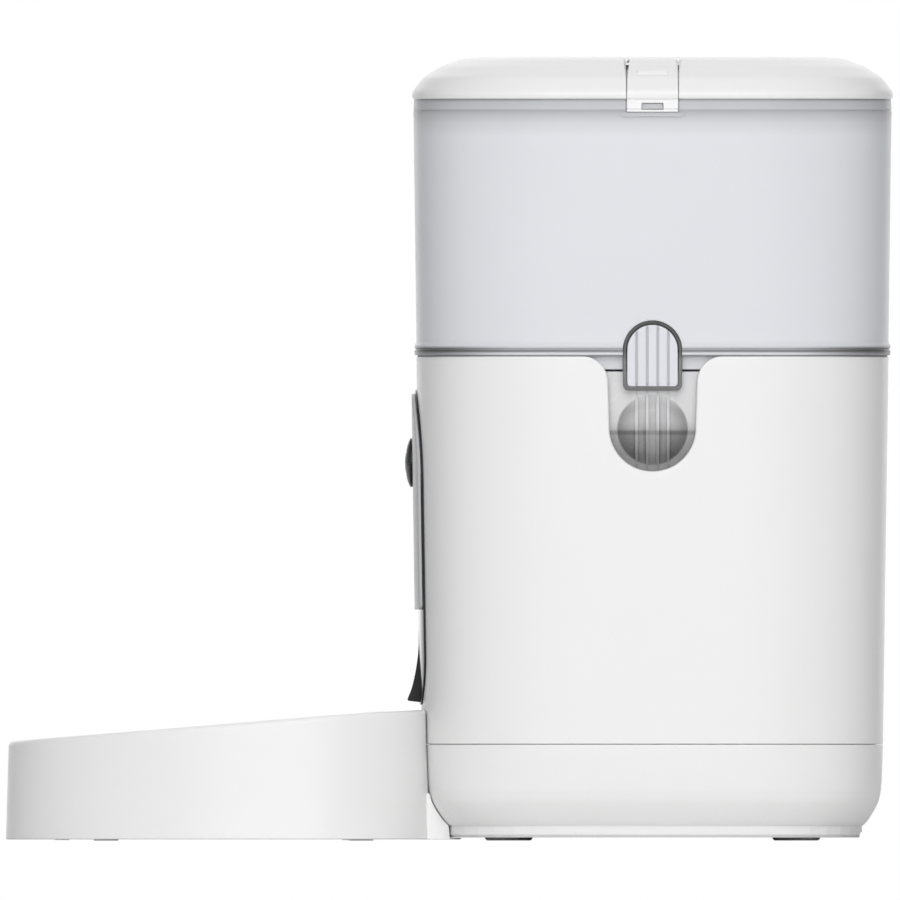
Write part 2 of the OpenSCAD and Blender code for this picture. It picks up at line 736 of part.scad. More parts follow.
module hopper_seat() {
    top = seat_top;
    color(smoke) at_body() difference() {
        union() {
            difference() {
                loft([outline(seat_in, seat_z), outline(seat_in, top),
                    outline(seat_in - 2.2, top), outline(seat_in - 2.2, seat_z + seat_t)]);
                block(-half_w - 5, -pocket_x, -pocket_y, pocket_y, seat_z + seat_t, top + 1);
            }
            difference() {
                block(-half_w + 6.2, -pocket_x + 2.2, -pocket_y - 2.2, pocket_y + 2.2,
                    seat_z + 1, top - 6);
                block(-half_w - 5, -pocket_x, -pocket_y, pocket_y, seat_z + seat_t, top + 1);
            }
            both_sides() {
                block(-19, 19, half_d - 13, half_d + seat_in - 1, notch_z - 22, top - 1.6);
            }
            drop_hole(seat_z + 1, cup_z - 0.6, 2);
        }
        drop_hole(seat_z - 1, cup_z + 1);
        both_sides() translate([0, half_d + seat_in - dimple_deep + dimple_r, dimple_z])
            sphere(r = dimple_r);
        boss_holes(seat_z - 1, seat_z + seat_t + 1, 1.6);
        translate([0, 0, seat_z - 1]) cylinder(h = seat_t + 2, r = out_shaft_r + 0.4);
    }
    color(smoke) at_body() both_sides() for (x = rib_xs)
        block(x - 0.5, x + 0.5, half_d - 10, half_d - 4.4, notch_z - 15, top - 1.6);
}

module inner_chute() {
    front = chute_end;
    color([0.85, 0.85, 0.87]) at_body() difference() {
        slab_y(-chute_y - chute_t, chute_y + chute_t) polygon([
            [drop_x1 - 3, deck_z - 0.1], [drop_x1 - 3, deck_z - 6], [front, chute_high + chute_t],
            [front, chute_low - chute_t], [drop_x2 + 2.6, deck_z - 0.1]]);
        slab_y(-chute_y, chute_y) polygon([
            [drop_x1 - 0.6, deck_z + 1], [drop_x1 - 0.6, deck_z - 7], [front - 1, chute_high],
            [front - 1, chute_low], [drop_x2 - 0.4, deck_z + 1]]);
    }
}

module ir_sensors() {
    color(black) at_body() both_sides()
        block(-66, -58, chute_y + chute_t, chute_y + chute_t + 5,
            (chute_low + deck_z) / 2 - 4, (chute_low + deck_z) / 2 + 4);
}

// ---- gears ----

function inv(a) = tan(a) * 180 / PI - a;

// spur gear outline with involute flanks
module gear_2d(teeth) {
    pitch_r = gear_m * teeth / 2;
    base_r = pitch_r * cos(20);
    tip_r = pitch_r + 0.8 * gear_m;
    root_r = pitch_r - 1.15 * gear_m;
    mid_r = (tip_r + max(base_r, root_r)) / 2;
    low_r = max(base_r, root_r);
    half_pitch = 90 / teeth * 0.91 + inv(20);
    low_a = half_pitch - inv(acos(base_r / low_r));
    mid_a = half_pitch - inv(acos(base_r / mid_r));
    tip_a = half_pitch - inv(acos(base_r / tip_r));
    side = [[root_r, low_a], [low_r + 0.02, low_a], [mid_r, mid_a], [tip_r, tip_a]];
    polygon([for (i = [0 : teeth - 1]) each concat(
        [for (p = side) p[0] * [cos(360 * i / teeth - p[1]), sin(360 * i / teeth - p[1])]],
        [for (k = [3 : -1 : 0]) let (p = side[k])
            p[0] * [cos(360 * i / teeth + p[1]), sin(360 * i / teeth + p[1])]])]);
}

module motor_pinion() {
    color(steel) at_body() translate([motor_at[0], motor_at[1], idler_low - 0.5]) difference() {
        rotate(motor_angle + 180 + 180 / teeth_small) linear_extrude(gear_t + 1)
            gear_2d(teeth_small);
        translate([0, 0, -1]) cylinder(h = gear_t + 3, r = motor_shaft_r);
    }
}

module idler_gear() {
    color([0.9, 0.9, 0.86]) at_body() translate([idler_at[0], idler_at[1], 0]) difference() {
        union() {
            translate([0, 0, idler_low]) rotate(motor_angle) linear_extrude(gear_t)
                gear_2d(teeth_idler);
            translate([0, 0, idler_mid - eps]) rotate(idler_angle + 180)
                linear_extrude(out_high - idler_mid + eps) gear_2d(teeth_small);
        }
        translate([0, 0, idler_low - 1]) cylinder(h = 30, r = idler_pin_r + run_gap);
    }
}

module output_gear() {
    color([0.9, 0.9, 0.86]) at_body() {
        translate([0, 0, out_low]) rotate(idler_angle + 180 / teeth_out)
            linear_extrude(gear_t) gear_2d(teeth_out);
        translate([0, 0, box_z]) cylinder(h = out_low - box_z + eps, r = out_stub_r);
        translate([0, 0, out_high - eps]) cylinder(h = dog_z - out_high + eps, r = out_shaft_r);
        for (a = [0, 90]) rotate(a) block(-dog_l / 2, dog_l / 2, -dog_t / 2, dog_t / 2,
            dog_z - 1, dog_top);
    }
}

module idler_pin() {
    color(steel) at_body() translate([idler_at[0], idler_at[1], box_z])
        cylinder(h = out_high - box_z + 3, r = idler_pin_r);
}

module gear_motor() {
    color([0.7, 0.71, 0.73]) at_body() translate([motor_at[0], motor_at[1], 0]) {
        translate([0, 0, box_z - motor_len]) cylinder(h = motor_len, r = motor_d / 2);
        translate([0, 0, box_z - eps]) cylinder(h = idler_mid - box_z, r = motor_shaft_r);
        for (x = [-6, 6]) block(x - 1, x + 1, -0.4, 0.4, box_z - motor_len - 4, box_z - motor_len + 1);
    }
}

module gearbox_plate() {
    color([0.8, 0.8, 0.82]) at_body() difference() {
        union() {
            translate([0, 0, box_z]) cylinder(h = box_t, r = 12);
            translate([motor_at[0], motor_at[1], box_z]) cylinder(h = box_t, r = motor_d / 2 + 3);
            translate([idler_at[0], idler_at[1], box_z]) cylinder(h = box_t, r = 12);
            for (p = posts) translate([p[0], p[1], box_z]) cylinder(h = box_t, r = post_r + 2.5);
            block(-7, 1, -40, 40, box_z, box_z + box_t);
            block(0, 60, -10, 14, box_z, box_z + box_t);
            block(44, 54, -38, -8, box_z, box_z + box_t);
        }
        translate([0, 0, box_z - 1]) cylinder(h = box_t + 2, r = out_stub_r + run_gap);
        translate([idler_at[0], idler_at[1], box_z - 1]) cylinder(h = box_t + 2, r = idler_pin_r);
        translate([motor_at[0], motor_at[1], box_z - 1])
            cylinder(h = box_t + 2, r = motor_shaft_r + 1.5);
    }
}

// ---- electronics ----

module main_board() {
    color(green) at_body() block(half_w - 14, half_w - 12.4, -31, 31, board_z1, board_z2);
}

module board_parts() {
    x = half_w - 14;
    color(black) at_body() {
        block(x - 1.6, x, -8, 8, board_z1 + 18, board_z1 + 34);
        block(x - 1.2, x, 13, 22, board_z1 + 24, board_z1 + 33);
        block(x - 6, x, -26, -14, board_z1 + 4, board_z1 + 12);
        block(x - 6, x, 10, 26, board_z1 + 4, board_z1 + 12);
        for (y = [-24, -17]) translate([0, y, board_z1 + 38]) along_x(x - 11, x, 3.2);
    }
}

module front_board() {
    color(green) at_body() block(board_x, board_x + 1.6, -17, 17, seat_z + seat_t + 1, camera_z + 17);
}

module camera_module() {
    color(black) at_body() {
        block(board_x - 3, board_x, -8, 8, camera_z - 8, camera_z + 8);
        translate([0, 0, camera_z]) along_x(-half_w - 0.2, board_x - 2.9, lens_r - 0.2);
    }
}

// front of the body between two heights, proud of its surface by p
module front_skin(p, low, high, inset) {
    z1 = panel_low - 4;
    z2 = panel_high + 4;
    difference() {
        intersection() {
            slab_x(-half_w - 10, -half_w + 20) panel_2d(inset, low, high);
            loft([outline(body_out(z1) + p, z1), outline(body_out(z2) + p, z2)]);
        }
        loft([outline(body_out(z1 - 1), z1 - 1), outline(body_out(z2 + 1), z2 + 1)]);
    }
}

module panel_plate() {
    color(black) at_body() difference() {
        front_skin(plate_proud, panel_low, panel_high, 0);
        panel_holes();
        block(-half_w - 5, -half_w + 12, -chute_y, chute_y, chute_low, chute_high);
    }
}

module panel_holes() {
    translate([0, 0, camera_z]) along_x(-half_w - 5, -half_w + 12, camera_d / 2 + 0.05);
    translate([0, 0, feed_z]) along_x(-half_w - 5, -half_w + 12, feed_d / 2 + 0.25);
    translate([0, 0, light_z]) along_x(-half_w - 5, -half_w + 12, 1.4);
    translate([0, 0, mic_z]) along_x(-half_w - 5, -half_w + 12, 0.9);
}

module front_panel() {
    z1 = panel_low - 5;
    z2 = panel_high + 5;
    color([0.8, 0.81, 0.82]) at_body() difference() {
        intersection() {
            slab_x(-half_w - 10, -half_w + 20) panel_2d(1.6, panel_low, panel_high);
            block(-half_w - 10, -half_w + 20, -half_d, half_d, panel_foot, panel_high + 5);
            loft([outline(body_out(z1) + panel_proud, z1), outline(body_out(z2) + panel_proud, z2)]);
        }
        loft([outline(body_out(z1 - 1) + plate_proud, z1 - 1),
            outline(body_out(z2 + 1) + plate_proud, z2 + 1)]);
        panel_holes();
    }
}

module camera_ring() {
    r = camera_d / 2;
    color(black) at_body() translate([-half_w, 0, camera_z]) rotate([0, -90, 0])
        difference() {
            union() {
                translate([0, 0, -3]) cylinder(h = 5.5, r = r);
                translate([0, 0, 2.5]) cylinder(h = 0.7, r1 = r, r2 = r - 1.2);
                translate([0, 0, 3.2]) cylinder(h = 0.9, r1 = r - 1.2, r2 = lens_r + 0.4);
            }
            translate([0, 0, -4]) cylinder(h = 9, r = lens_r + 0.1);
        }
}

module camera_lens() {
    dome_r = 14;
    color([0.02, 0.02, 0.03]) at_body() translate([-half_w, 0, camera_z]) rotate([0, -90, 0])
        intersection() {
            translate([0, 0, 1.4]) cylinder(h = 5, r = lens_r);
            translate([0, 0, 4.6 - dome_r]) sphere(r = dome_r);
        }
}

module feed_button() {
    face = panel_x(feed_z);
    color([0.9, 0.9, 0.9]) at_body() translate([0, 0, feed_z]) {
        along_x(face + 0.1, face + 0.8, feed_d / 2);
        along_x(face + 0.8 - eps, board_x - feed_travel - 0.5, feed_stem_r);
    }
}

module status_light() {
    color([0.6, 0.8, 0.95]) at_body() translate([0, 0, light_z]) along_x(panel_x(light_z), -half_w + 6, 1.4);
}

module microphone() {
    color(black) at_body() translate([0, 0, mic_z]) along_x(panel_x(mic_z) + 0.3, -half_w + 5, 0.9);
}

module spout() {
    x = -half_w;
    color(black) at_body() difference() {
        slab_y(-chute_y - 4, chute_y + 4) polygon([[x + 0.9, panel_low + 30], [x + 0.8, panel_low + 22],
            [x - 0.2, panel_low + 14], [x - 1.8, panel_low + 7], [x - 3.6, panel_low + 2.2],
            [x - 3.4, panel_low + 1.4], [x + 1, panel_low + 0.8], [x + 1.4, panel_low + 30]]);
        slab_y(-chute_y, chute_y) polygon([[x + 5, chute_low], [x + 1, chute_low],
            [x - 4.4, panel_low + 3], [x - 6, panel_low + 40], [x + 5, panel_low + 40]]);
        loft([outline(body_out(panel_low - 9) + plate_proud, panel_low - 9),
            outline(body_out(panel_high) + plate_proud, panel_high)]);
    }
}

module speaker() {
    color(black) at_body() translate([speaker_x, 0, floor_top]) difference() {
        cylinder(h = 9, r = 18);
        translate([0, 0, -1]) cylinder(h = 4, r = 14);
    }
}

module power_inlet() {
    color(black) at_body() translate([0, inlet_y, inlet_z]) {
        difference() {
            union() {
                along_x(inlet_x - 6, inlet_x, 5.3);
                block(inlet_x - 12.6, inlet_x - 6 + eps, -6, 6, -5.5, 5.5);
            }
            along_x(inlet_x - 11, inlet_x + 1, 2.8);
        }
        along_x(inlet_x - 11.2, inlet_x - 1, 1);
    }
}

module reset_button() {
    color(grey) at_body() translate([0, -inlet_y, inlet_z]) {
        along_x(inlet_x - 3, inlet_x + 0.6, 2.6);
        along_x(inlet_x - 6, inlet_x - 3 + eps, 4);
    }
}

// ---- tray and bowl ----

function tray_spoke(a, g) = cos(a) < 0
    ? spoke(a, [tray_front + g, tray_w / 2 + g, 2.3])
    : spoke(a, [tray_back + g, tray_w / 2 + g, 2.5]);

function tray_points(g, z) = [for (i = [0 : seg - 1])
    let (a = 360 * i / seg, r = tray_spoke(a, g)) [r * cos(a), r * sin(a), z]];

module tray_block(g1, z1, g2, z2) {
    sides = [for (i = [0 : seg - 1]) let (k = (i + 1) % seg)
        each [[i, seg + i, seg + k], [i, seg + k, k]]];
    ends = [[for (i = [0 : seg - 1]) i], [for (i = [seg - 1 : -1 : 0]) seg + i]];
    translate([tray_x, 0, 0]) polyhedron(
        points = concat(tray_points(g1, z1), tray_points(g2, z2)), faces = concat(sides, ends));
}

// everything above the tray's sloping top, lowered by d
module above_tray(d) {
    translate([bowl_x, 0, bowl_top - d]) rotate([0, -tray_tilt, 0])
        translate([-200, -200, 0]) cube([400, 400, 100]);
}

// room for the body behind the tray, grown by g
module body_room(g) {
    at_body() loft(concat([outline(-10.6 + g, plinth_z - 0.2), outline(-10.2 + g, shell_z - 0.4)],
        [for (p = lower_profile) outline(p[0] + g, p[1])],
        [outline(base_taper + g, seam_z), outline(body_out(seam_z + 40) + g, seam_z + 40)]));
}

module bowl_tray() {
    color(white) difference() {
        union() {
            difference() {
                union() {
                    tray_block(0, tray_z, -1.6, 70);
                    block(link_end - 40, link_end, -link_y, link_y, tray_z, link_z);
                }
                body_room(slip_gap + 0.1);
                difference() {
                    tray_block(-tray_wall, tray_z - 1, -tray_wall - 1.6, 68);
                    above_tray(3);
                    body_room(slip_gap + tray_wall);
                }
                above_tray(0);
            }
            difference() {
                both_sides() for (p = tray_posts) translate([p[0], p[1], tray_z + tray_base_t])
                    cylinder(h = 60, r = 3.5);
                above_tray(1);
            }
        }
        translate([bowl_x, 0, bowl_top]) rotate([0, -tray_tilt, 0]) {
            translate([0, 0, -20]) cylinder(h = 40, r = bowl_r + bowl_t + 0.6);
            translate([0, 0, -1.2]) cylinder(h = 20, r = bowl_r + bowl_lip + 0.4);
        }
        both_sides() for (p = tray_posts) translate([p[0], p[1], tray_z])
            cylinder(h = 14, r = 1.3);
    }
}

module tray_base() {
    color([0.88, 0.88, 0.88]) difference() {
        tray_block(-tray_wall - 0.2, tray_z, -tray_wall - 0.2, tray_z + tray_base_t);
        body_room(slip_gap + tray_wall + 0.2);
        both_sides() for (p = tray_posts) translate([p[0], p[1], 0]) {
            cylinder(h = 5, r = 1.5);
            cylinder(h = tray_z + 1.6, r = 3.3);
        }
        both_sides() for (p = tray_pads) translate([p[0], p[1], 0])
            cylinder(h = tray_z + 1.2, r = tray_foot_r);
    }
}

tray_pads = [[tray_nose + 142, 46], [tray_nose + 40, 46]];

module tray_feet() {
    color(grey) both_sides() for (p = tray_pads) translate([p[0], p[1], 0])
        cylinder(h = tray_z + 1.2, r = tray_foot_r - 0.1);
}

module tray_screws() {
    color(steel) both_sides() for (p = tray_posts) translate([p[0], p[1], 0])
        screw(tray_z - 0.2, 11);
}

module food_bowl() {
    r = bowl_r + bowl_t;
    color(steel) translate([bowl_x, 0, bowl_top - 0.2]) rotate([0, -tray_tilt, 0])
        rotate_extrude() difference() {
            union() {
                translate([0, -bowl_depth]) square([r - bowl_round, bowl_depth]);
                translate([0, bowl_round - bowl_depth]) square([r, bowl_depth - bowl_round]);
                translate([r - bowl_round, bowl_round - bowl_depth]) circle(r = bowl_round);
                translate([0, -bowl_t]) square([r + bowl_lip - 1, bowl_t]);
            }
            translate([-1, bowl_t - bowl_depth]) square([r - bowl_round + 1, bowl_depth + 1]);
            translate([-1, bowl_round - bowl_depth])
                square([r - bowl_t + 1, bowl_depth + 1]);
            translate([r - bowl_round, bowl_round - bowl_depth]) circle(r = bowl_round - bowl_t);
            translate([-r, -r * 2]) square([r, r * 4]);
        }
}

lid();
lid_seal();
latch_left();
latch_right();
latch_pins();
desiccant_holder();
desiccant_pack();
desiccant_cover();
hopper();
hopper_gasket();
release_bezels();
release_tab_left();
release_tab_right();
rotor();
agitator();
upper_body();
lower_body();
base_plate();
rubber_feet();
base_screws();
battery_box();
battery_cells();
battery_contacts();
battery_cover();
deck();
deck_screws();
hopper_seat();
gearbox_plate();
idler_pin();
gear_motor();
motor_pinion();
idler_gear();
output_gear();
inner_chute();
ir_sensors();
main_board();
board_parts();
front_board();
camera_module();
panel_plate();
front_panel();
camera_ring();
camera_lens();
feed_button();
status_light();
microphone();
spout();
speaker();
power_inlet();
reset_button();
bowl_tray();
tray_base();
tray_feet();
tray_screws();
food_bowl();
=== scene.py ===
"""Looks of the automatic pet feeder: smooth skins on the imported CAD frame, camera and graded sky."""
import bpy
import bmesh
import math
import numpy as np
from mathutils import Matrix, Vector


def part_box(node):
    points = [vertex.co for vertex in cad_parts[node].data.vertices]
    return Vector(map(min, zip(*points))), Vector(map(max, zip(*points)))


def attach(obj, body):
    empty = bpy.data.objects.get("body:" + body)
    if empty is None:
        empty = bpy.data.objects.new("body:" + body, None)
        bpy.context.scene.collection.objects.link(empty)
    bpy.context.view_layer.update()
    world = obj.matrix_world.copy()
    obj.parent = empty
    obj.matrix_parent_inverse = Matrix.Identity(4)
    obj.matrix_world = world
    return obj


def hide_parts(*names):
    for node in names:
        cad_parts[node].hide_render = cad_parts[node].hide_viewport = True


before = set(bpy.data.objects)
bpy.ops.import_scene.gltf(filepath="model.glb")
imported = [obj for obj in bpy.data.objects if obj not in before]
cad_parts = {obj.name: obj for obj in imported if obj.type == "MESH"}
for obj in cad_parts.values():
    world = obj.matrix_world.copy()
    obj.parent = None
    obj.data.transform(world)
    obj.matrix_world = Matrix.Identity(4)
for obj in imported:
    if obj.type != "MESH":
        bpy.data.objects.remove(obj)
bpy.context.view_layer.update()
MM = 0.001

# ---------------------------------------------------------------- measures from the frame
up_lo, up_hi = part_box("upper_body")
hop_lo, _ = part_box("hopper")
lid_lo, lid_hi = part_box("lid")
tray_lo, tray_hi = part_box("bowl_tray")
plate_lo, plate_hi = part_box("panel_plate")
face_lo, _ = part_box("front_panel")
ring_lo, ring_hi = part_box("camera_ring")
feed_lo, feed_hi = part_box("feed_button")
bez_lo, bez_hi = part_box("release_bezels")
arch_lo, arch_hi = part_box("release_tab_left")
latch_lo, latch_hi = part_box("latch_left")
pin_lo, pin_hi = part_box("latch_pins")
foot_lo, foot_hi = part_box("rubber_feet")

BX = (up_lo.x + up_hi.x) / 2
HALF = (up_hi.x - up_lo.x) / 2
SEAM = up_lo.z
TOP = up_hi.z
SKIRT = 6.6 * MM
RIM = lid_lo.z + SKIRT
LID_H = lid_hi.z - RIM
PLAN = 3.8
TAPER = -2.2 * MM
TOP_EDGE = 1 * MM
RIB_PITCH = 4.23


def body_out(z):
    """How far the tapering body stands in from its top edge, at height z."""
    return TAPER * (TOP - TOP_EDGE - z) / (TOP - TOP_EDGE - SEAM)


# ---------------------------------------------------------------- mesh helpers
def new_object(name, verts, faces):
    mesh = bpy.data.meshes.new(name)
    mesh.from_pydata([tuple(v) for v in verts], [], faces)
    mesh.validate()
    obj = bpy.data.objects.new(name, mesh)
    bpy.context.scene.collection.objects.link(obj)
    return obj


def plan_ring(o, z, seg, n=PLAN, hx=None, hy=None):
    a = np.arange(seg) * 2 * math.pi / seg
    hx = HALF + o if hx is None else hx
    hy = HALF + o if hy is None else hy
    r = ((np.abs(np.cos(a)) / hx) ** n + (np.abs(np.sin(a)) / hy) ** n) ** (-1 / n)
    return np.stack([BX + r * np.cos(a), r * np.sin(a), np.full(seg, z)], 1)


def skin(name, rings, loop=False):
    """Quads over a list of equal rings; a loop closes on itself, else both ends are capped."""
    seg, count = len(rings[0]), len(rings)
    verts = np.concatenate(rings)
    faces = []
    for j in range(count if loop else count - 1):
        a, b = j * seg, ((j + 1) % count) * seg
        for i in range(seg):
            k = (i + 1) % seg
            faces.append((a + i, a + k, b + k, b + i))
    if not loop:
        faces.append(tuple(reversed(range(seg))))
        faces.append(tuple((count - 1) * seg + i for i in range(seg)))
    return new_object(name, verts, faces)


def spin(name, profile, centre, axis="z", seg=96, loop=True):
    """Revolves (radius, height) pairs about an axis through centre."""
    a = np.arange(seg) * 2 * math.pi / seg
    rings = []
    for r, h in profile:
        c, s = r * np.cos(a), r * np.sin(a)
        if axis == "z":
            p = np.stack([c, s, np.full(seg, h)], 1)
        else:
            p = np.stack([np.full(seg, h), c, s], 1)
        rings.append(p + np.array(centre))
    return skin(name, rings, loop)


def prism(name, outline, axis, lo, hi):
    """Extrudes a closed outline of (u, v) pairs: along x (u, v = y, z) or y (u, v = x, z)."""
    n = len(outline)
    verts = []
    for w in (lo, hi):
        for u, v in outline:
            verts.append((w, u, v) if axis == "x" else (u, w, v))
    faces = [tuple(range(n)), tuple(n + i for i in reversed(range(n)))]
    faces += [(i, n + i, n + (i + 1) % n, (i + 1) % n) for i in range(n)]
    obj = new_object(name, verts, faces)
    fix_normals(obj)
    return obj


def fix_normals(obj):
    bm = bmesh.new()
    bm.from_mesh(obj.data)
    bmesh.ops.recalc_face_normals(bm, faces=bm.faces)
    bm.to_mesh(obj.data)
    bm.free()


def bake(obj):
    graph = bpy.context.evaluated_depsgraph_get()
    mesh = bpy.data.meshes.new_from_object(obj.evaluated_get(graph))
    obj.modifiers.clear()
    obj.data = mesh


def carve(obj, cutters, how="DIFFERENCE"):
    for c in cutters if isinstance(cutters, list) else [cutters]:
        fix_normals(c)
        m = obj.modifiers.new("cut", "BOOLEAN")
        m.operation = how
        m.solver = "EXACT"
        m.object = c
        bpy.context.view_layer.update()
        bake(obj)
        bpy.data.objects.remove(c)
    return obj


def soften(obj, width=0.0004, angle=40, segments=3):
    """Rounds the sharp edges that a moulded part would have rounded."""
    m = obj.modifiers.new("edge_round", "BEVEL")
    m.width = width
    m.segments = segments
    m.limit_method = "ANGLE"
    m.angle_limit = math.radians(angle)
    m.use_clamp_overlap = False
    m.harden_normals = True
    m.miter_outer = "MITER_ARC"
    bpy.context.view_layer.update()
    bake(obj)
    return obj


def shade(obj, angle=38):
    bm = bmesh.new()
    bm.from_mesh(obj.data)
    bmesh.ops.remove_doubles(bm, verts=bm.verts, dist=2e-6)
    bmesh.ops.dissolve_degenerate(bm, edges=bm.edges, dist=1e-6)
    limit = math.radians(angle)
    for f in bm.faces:
        f.smooth = True
    for e in bm.edges:
        e.smooth = len(e.link_faces) == 2 and e.calc_face_angle(0) < limit
    bm.to_mesh(obj.data)
    bm.free()
    m = obj.modifiers.new("weighted", "WEIGHTED_NORMAL")
    m.keep_sharp = True
    m.weight = 60
    return obj


def curve_through(points, steps=6):
    """Smooth open curve through points (uniform Catmull-Rom)."""
    p = [np.array(q, float) for q in points]
    p = [2 * p[0] - p[1]] + p + [2 * p[-1] - p[-2]]
    out = []
    for i in range(1, len(p) - 2):
        for k in range(steps):
            t = k / steps
            out.append(0.5 * (2 * p[i] + (p[i + 1] - p[i - 1]) * t
                       + (2 * p[i - 1] - 5 * p[i] + 4 * p[i + 1] - p[i + 2]) * t * t
                       + (3 * p[i] - p[i - 1] - 3 * p[i + 1] + p[i + 2]) * t ** 3))
    out.append(p[-2])
    return out


def rect(u1, u2, v1, v2):
    return [(u1, v1), (u2, v1), (u2, v2), (u1, v2)]


def span(side, near, far):
    """From near to far in mm beyond the body's half width, on one side of it."""
    return sorted((side * (HALF + near * MM), side * (HALF + far * MM)))


def arc(cx, cy, r, a1, a2, steps=12):
    return [(cx + r * math.cos(math.radians(a1 + (a2 - a1) * k / steps)),
             cy + r * math.sin(math.radians(a1 + (a2 - a1) * k / steps)))
            for k in range(steps + 1)]


# ---------------------------------------------------------------- materials
def procedural(name, colour, rough, spread=0.02, grain=900.0, bump=0.03, blotch=14.0,
               rough_spread=0.06, metallic=0.0, coat=0.0, transmission=0.0, ior=1.46,
               stretch=None, specular=0.5, speck=0.0):
    """Moulded or drawn surface: faint colour blotches, uneven gloss and a fine grain."""
    m = bpy.data.materials.new(name)
    m.use_nodes = True
    nt = m.node_tree
    nt.nodes.clear()
    out = nt.nodes.new("ShaderNodeOutputMaterial")
    bsdf = nt.nodes.new("ShaderNodeBsdfPrincipled")
    nt.links.new(bsdf.outputs[0], out.inputs[0])
    bsdf.inputs["Metallic"].default_value = metallic
    bsdf.inputs["IOR"].default_value = ior
    bsdf.inputs["Coat Weight"].default_value = coat
    bsdf.inputs["Coat Roughness"].default_value = 0.12
    bsdf.inputs["Transmission Weight"].default_value = transmission
    bsdf.inputs["Specular IOR Level"].default_value = specular
    coord = nt.nodes.new("ShaderNodeTexCoord")
    vector = coord.outputs["Object"]
    if stretch:
        mapping = nt.nodes.new("ShaderNodeMapping")
        mapping.inputs["Scale"].default_value = stretch
        nt.links.new(vector, mapping.inputs["Vector"])
        vector = mapping.outputs["Vector"]
    large = nt.nodes.new("ShaderNodeTexNoise")
    large.inputs["Scale"].default_value = blotch
    large.inputs["Detail"].default_value = 4
    nt.links.new(coord.outputs["Object"], large.inputs["Vector"])
    fine = nt.nodes.new("ShaderNodeTexNoise")
    fine.inputs["Scale"].default_value = grain
    fine.inputs["Detail"].default_value = 3
    nt.links.new(vector, fine.inputs["Vector"])
    ramp = nt.nodes.new("ShaderNodeValToRGB")
    ramp.color_ramp.elements[0].position = 0.3
    ramp.color_ramp.elements[1].position = 0.7
    ramp.color_ramp.elements[0].color = [max(0, c * (1 - spread)) for c in colour[:3]] + [1]
    ramp.color_ramp.elements[1].color = [min(1, c * (1 + spread * 0.5)) for c in colour[:3]] + [1]
    nt.links.new(large.outputs["Fac"], ramp.inputs["Fac"])
    base = ramp.outputs["Color"]
    if speck:
        dots = nt.nodes.new("ShaderNodeValToRGB")
        dots.color_ramp.elements[0].position = 0.36
        dots.color_ramp.elements[0].color = (1 - speck,) * 3 + (1,)
        dots.color_ramp.elements[1].position = 0.46
        dots.color_ramp.elements[1].color = (1, 1, 1, 1)
        nt.links.new(fine.outputs["Fac"], dots.inputs["Fac"])
        mix = nt.nodes.new("ShaderNodeMix")
        mix.data_type = "RGBA"
        mix.blend_type = "MULTIPLY"
        mix.inputs["Factor"].default_value = 1
        nt.links.new(base, mix.inputs["A"])
        nt.links.new(dots.outputs["Color"], mix.inputs["B"])
        base = mix.outputs["Result"]
    nt.links.new(base, bsdf.inputs["Base Color"])
    gloss = nt.nodes.new("ShaderNodeMapRange")
    gloss.inputs["From Min"].default_value = 0.3
    gloss.inputs["From Max"].default_value = 0.7
    gloss.inputs["To Min"].default_value = max(0.02, rough - rough_spread)
    gloss.inputs["To Max"].default_value = min(1, rough + rough_spread)
    both = nt.nodes.new("ShaderNodeMath")
    both.operation = "ADD"
    half = nt.nodes.new("ShaderNodeMath")
    half.operation = "MULTIPLY"
    half.inputs[1].default_value = 0.5
    nt.links.new(large.outputs["Fac"], both.inputs[0])
    nt.links.new(fine.outputs["Fac"], both.inputs[1])
    nt.links.new(both.outputs[0], half.inputs[0])
    nt.links.new(half.outputs[0], gloss.inputs["Value"])
    nt.links.new(gloss.outputs["Result"], bsdf.inputs["Roughness"])
    b = nt.nodes.new("ShaderNodeBump")
    b.inputs["Strength"].default_value = bump
    b.inputs["Distance"].default_value = 0.0002
    nt.links.new(fine.outputs["Fac"], b.inputs["Height"])
    nt.links.new(b.outputs["Normal"], bsdf.inputs["Normal"])
    return m


def mth(nt, op, a, b=0.5, clamp=False):
    n = nt.nodes.new("ShaderNodeMath")
    n.operation = op
    n.use_clamp = clamp
    for i, v in enumerate((a, b)):
        if isinstance(v, bpy.types.NodeSocket):
            nt.links.new(v, n.inputs[i])
        else:
            n.inputs[i].default_value = v
    return n.outputs[0]


def fade(nt, v, lo, hi, a=0.0, b=1.0):
    """Smooth step of a place in mm: a at lo, b at hi."""
    n = nt.nodes.new("ShaderNodeMapRange")
    n.interpolation_type = "SMOOTHSTEP"
    nt.links.new(v, n.inputs["Value"])
    for name, x in (("From Min", lo), ("From Max", hi), ("To Min", a), ("To Max", b)):
        n.inputs[name].default_value = x
    return n.outputs["Result"]


def places(nt):
    """Sockets in mm: place along X from the body's middle, its size alone, and height."""
    n = nt.nodes.new("ShaderNodeSeparateXYZ")
    nt.links.new(nt.nodes.new("ShaderNodeTexCoord").outputs["Object"], n.inputs[0])
    x, z = (mth(nt, "MULTIPLY", n.outputs[i], 1000) for i in (0, 2))
    x = mth(nt, "SUBTRACT", x, BX / MM)
    return x, mth(nt, "ABSOLUTE", x), z


def by_height(nt, z, stops):
    n = nt.nodes.new("ShaderNodeValToRGB")
    lo, hi = stops[0][0], stops[-1][0]
    t = mth(nt, "DIVIDE", mth(nt, "SUBTRACT", z, lo), hi - lo)
    nt.links.new(t, n.inputs["Fac"])
    while len(n.color_ramp.elements) < len(stops):
        n.color_ramp.elements.new(0.5)
    for e, (h, v) in zip(n.color_ramp.elements, stops):
        e.position = (h - lo) / (hi - lo)
        e.color = (v, v, v, 1)
    return n.outputs["Color"]


